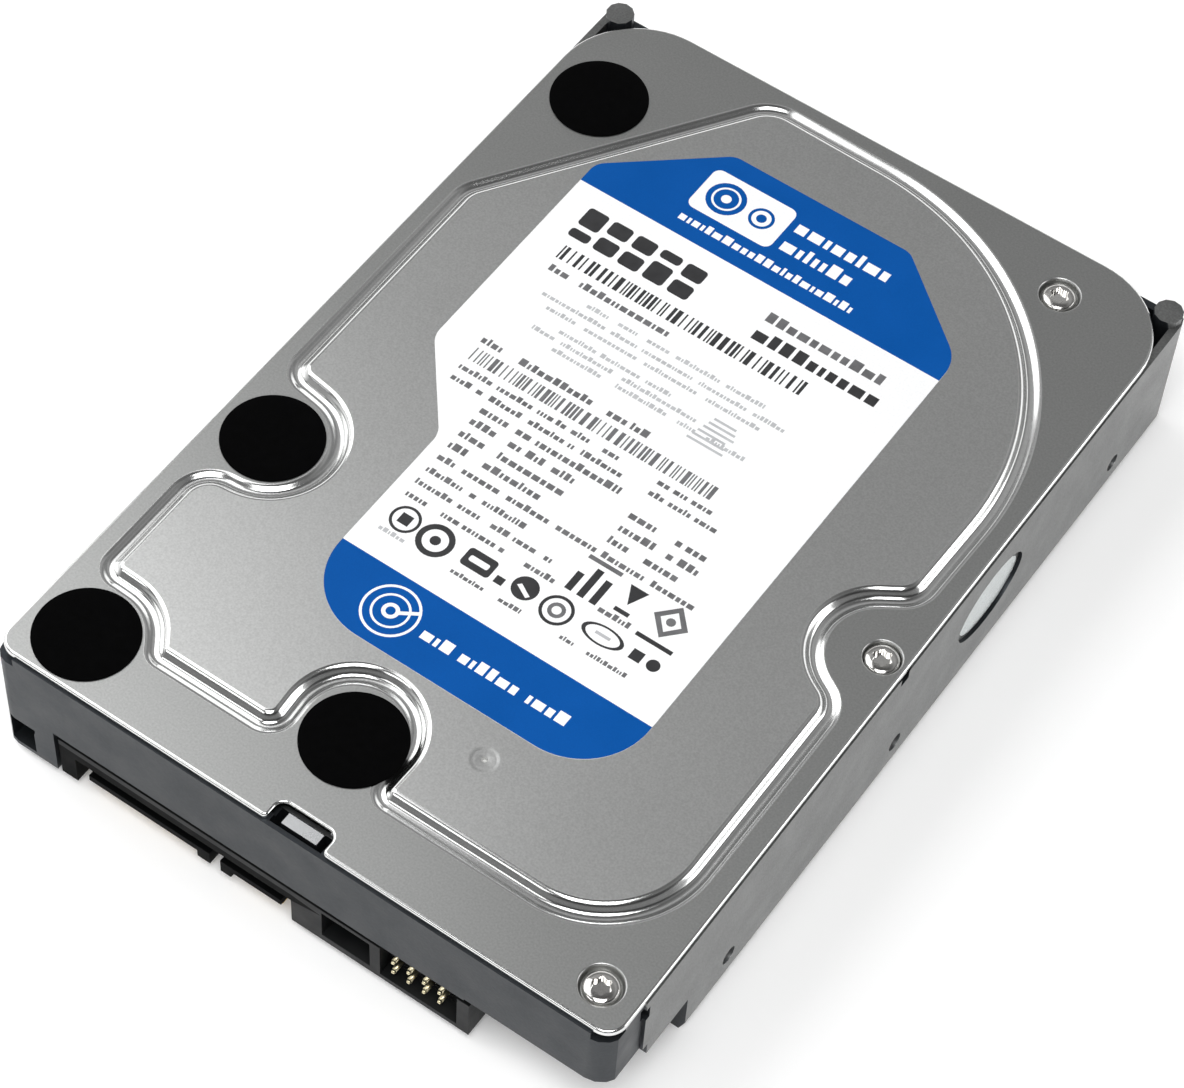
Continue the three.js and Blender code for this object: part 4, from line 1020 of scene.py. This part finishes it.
def build_pins():
    """The jumper pins, two rows of four with chamfered tips, in their black carrier."""
    shell = Shell()
    left, right, back = 15, 23.9, -65.2
    slab(shell, [(left, PIN_BASE), (right, PIN_BASE), (right, back), (left, back)], 4.1, 7.6, 1)
    for column in (-1.5, -0.5, 0.5, 1.5):
        for row in (-0.5, 0.5):
            x, z = PIN_CENTRE[0] + column * PIN_PITCH, PIN_CENTRE[1] + row * PIN_PITCH
            frustum(shell, x, z, PIN_SHOULDER, PIN_BASE, PIN_HALF, PIN_HALF)
            frustum(shell, x, z, PIN_TIP, PIN_SHOULDER, PIN_HALF * 0.55, PIN_HALF)
    made = shell.object("tapered_pins", [PIN_GOLD, PLASTIC], "gold", ["jumper_pins"], own_normals=False)
    shade(made, 20)


def build_connectors():
    dress("connector_housing", PLASTIC, SHADED_TONGUE, choose=housing_surface, bevel=0.14)
    dress("power_contacts", GOLD, bevel=0.07)
    dress("signal_contacts", GOLD, bevel=0.07)
    build_pins()


def board_surface(place, facing):
    """Varnished faces, bare fibre along the cut edges, and black chips on the upper side."""
    if place.z > BOARD_TOP + 0.05:
        return 2
    return 1 if abs(facing.z) < 0.3 else 0


BOARD_HALF_WIDTH, BOARD_FRONT, BOARD_BACK = 43.4, -60.5, 13
NOTCH_R, SCREW_PAD_R = 21.1, 3.2


def on_board(x, y, margin):
    """Whether a round spot lies on the copper side of the board, clear of its edges, screws and notch."""
    if abs(x) > BOARD_HALF_WIDTH - margin or not BOARD_FRONT + margin <= y <= BOARD_BACK - margin:
        return False
    front_step = x > 30 and y < -53 + margin
    cut_corner = y > -2 and x + y > 40
    if front_step or cut_corner:
        return False
    if math.dist((x, y), SPINDLE) < NOTCH_R + margin:
        return False
    return all(math.dist((x, y), screw) > SCREW_PAD_R + margin for screw in BOARD_SCREWS)


def build_tracks():
    """Copper runs, plated holes and test pads on the underside of the board, as a pattern of square cells."""
    shell = Shell()
    draw = random.Random(11)
    track, plated = 0, 1
    cell, lines, width = 5.0, 4, 0.34
    pitch = cell / lines
    low = BOARD_BOTTOM - 0.035

    def line(x0, y0, x1, y1):
        across = Vector((y0 - y1, x1 - x0)).normalized() * width / 2
        ends = ((x0, y0, -1), (x1, y1, -1), (x1, y1, 1), (x0, y0, 1))
        corners = [(x + across.x * side, y + across.y * side) for x, y, side in ends]
        slab(shell, corners, low, BOARD_BOTTOM, track)

    def spot(x, y, radius):
        slab(shell, [(px, py) for px, py, _ in circle(x, y, radius, 14)], low - 0.02, BOARD_BOTTOM, plated)

    for row in range(-13, 3):
        for column in range(-9, 9):
            x, y = column * cell, row * cell
            if not on_board(x + cell / 2, y + cell / 2, cell * 0.75):
                continue
            kind = draw.choice(("run", "run", "run", "jog", "jog", "ends", "pads", "open"))
            for k in range(lines):
                level = y + (k + 0.5) * pitch
                if kind == "run":
                    line(x, level, x + cell, level)
                elif kind == "jog" and k < lines - 1:
                    line(x, level, x + pitch, level)
                    line(x + pitch, level, x + 2 * pitch, level + pitch)
                    line(x + 2 * pitch, level + pitch, x + cell, level + pitch)
                elif kind == "ends":
                    stop = x + cell * draw.choice((0.3, 0.5, 0.7))
                    line(x, level, stop, level)
                    spot(stop, level, 0.42)
                elif kind == "pads" and k % 2:
                    spot(x + cell * 0.3, level, 0.75)
                    spot(x + cell * 0.75, level, 0.45)
            if kind == "jog":
                spot(x + cell * 0.8, y + 0.5 * pitch, 0.4)
    # four contacts of the motor cable
    half, y0, y1 = 0.7, -2.6, 0.8
    for k in range(4):
        x = -2.9 + 2.2 * k
        corners = [(x - half, y0), (x + half, y0), (x + half, y1), (x - half, y1)]
        slab(shell, corners, low - 0.03, BOARD_BOTTOM, plated)
    shell.object("board_tracks", [TRACK, SOLDER], "board", own_normals=False)


def build_board():
    dress("circuit_board", BOARD, FIBRE, CHIP, choose=board_surface, bevel=0.08)
    dress("board_insulator", INSULATOR, bevel=0.3)
    build_tracks()
    for k, (x, y) in enumerate(BOARD_SCREWS):
        name, replaced = f"board_fixing_{k + 1}", f"board_screw_{k + 1}"
        screw_head(name, replaced, x, y, BOARD_BOTTOM, -1, radius=2.4, height=0.95)


# ---------------------------------------------------------------- flexible cable to the arm

FLEX_ROUTE = [(-8, -40.6), (-2, -37.8), (3, -40.8), (8.5, -40.4), (11.2, -35.8)]


def smooth_route(points, steps):
    """Points of a smooth curve through a few given ones."""
    ends = [Vector(points[0]) * 2 - Vector(points[1]), Vector(points[-1]) * 2 - Vector(points[-2])]
    guide = [ends[0], *map(Vector, points), ends[1]]
    route = []
    for a, b, c, d in zip(guide, guide[1:], guide[2:], guide[3:]):
        for k in range(steps):
            t = k / steps
            route.append(0.5 * (2 * b + (c - a) * t + (2 * a - 5 * b + 4 * c - d) * t * t
                                + (3 * b - a - 3 * c + d) * t ** 3))
    return route + [guide[-2]]


def build_flex_cable():
    """The thin printed ribbon between the chassis and the arm. It rides on no body."""
    shell = Shell()
    route = smooth_route(FLEX_ROUTE, 10)
    levels = [12.0, 12.5, 13.4, 13.8, 14.8, 15.2, 16.2, 16.6, 17.5, 18.0]
    half_thick = 0.1
    rows = []
    for k, place in enumerate(route):
        ahead = route[min(k + 1, len(route) - 1)] - route[max(k - 1, 0)]
        across = Vector((-ahead.y, ahead.x)).normalized() * half_thick
        rows.append([
            shell.point(place.x + across.x * side, place.y + across.y * side, z)
            for side, heights in ((1, levels), (-1, levels[::-1]))
            for z in heights
        ])
    count = len(rows[0])
    for a, b in zip(rows, rows[1:]):
        for i in range(count):
            j = (i + 1) % count
            on_copper = i % len(levels) in (1, 3, 5, 7)
            shell.face((a[i], a[j], b[j], b[i]), 1 if on_copper else 0)
    shell.face(rows[0][::-1])
    shell.face(rows[-1])
    made = shell.object("flex_ribbon", [POLYIMIDE, COPPER], "polyimide", ["flex_cable"], None, False)
    shade(made, 50)
    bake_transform(made)


build_camera()
build_world()
build_stage()
build_cover()
build_label()
build_discs()
build_screws()
build_shell_parts()
build_magnets_and_arms()
build_motor_inside()
build_motor_base()
build_connectors()
build_board()
build_flex_cable()
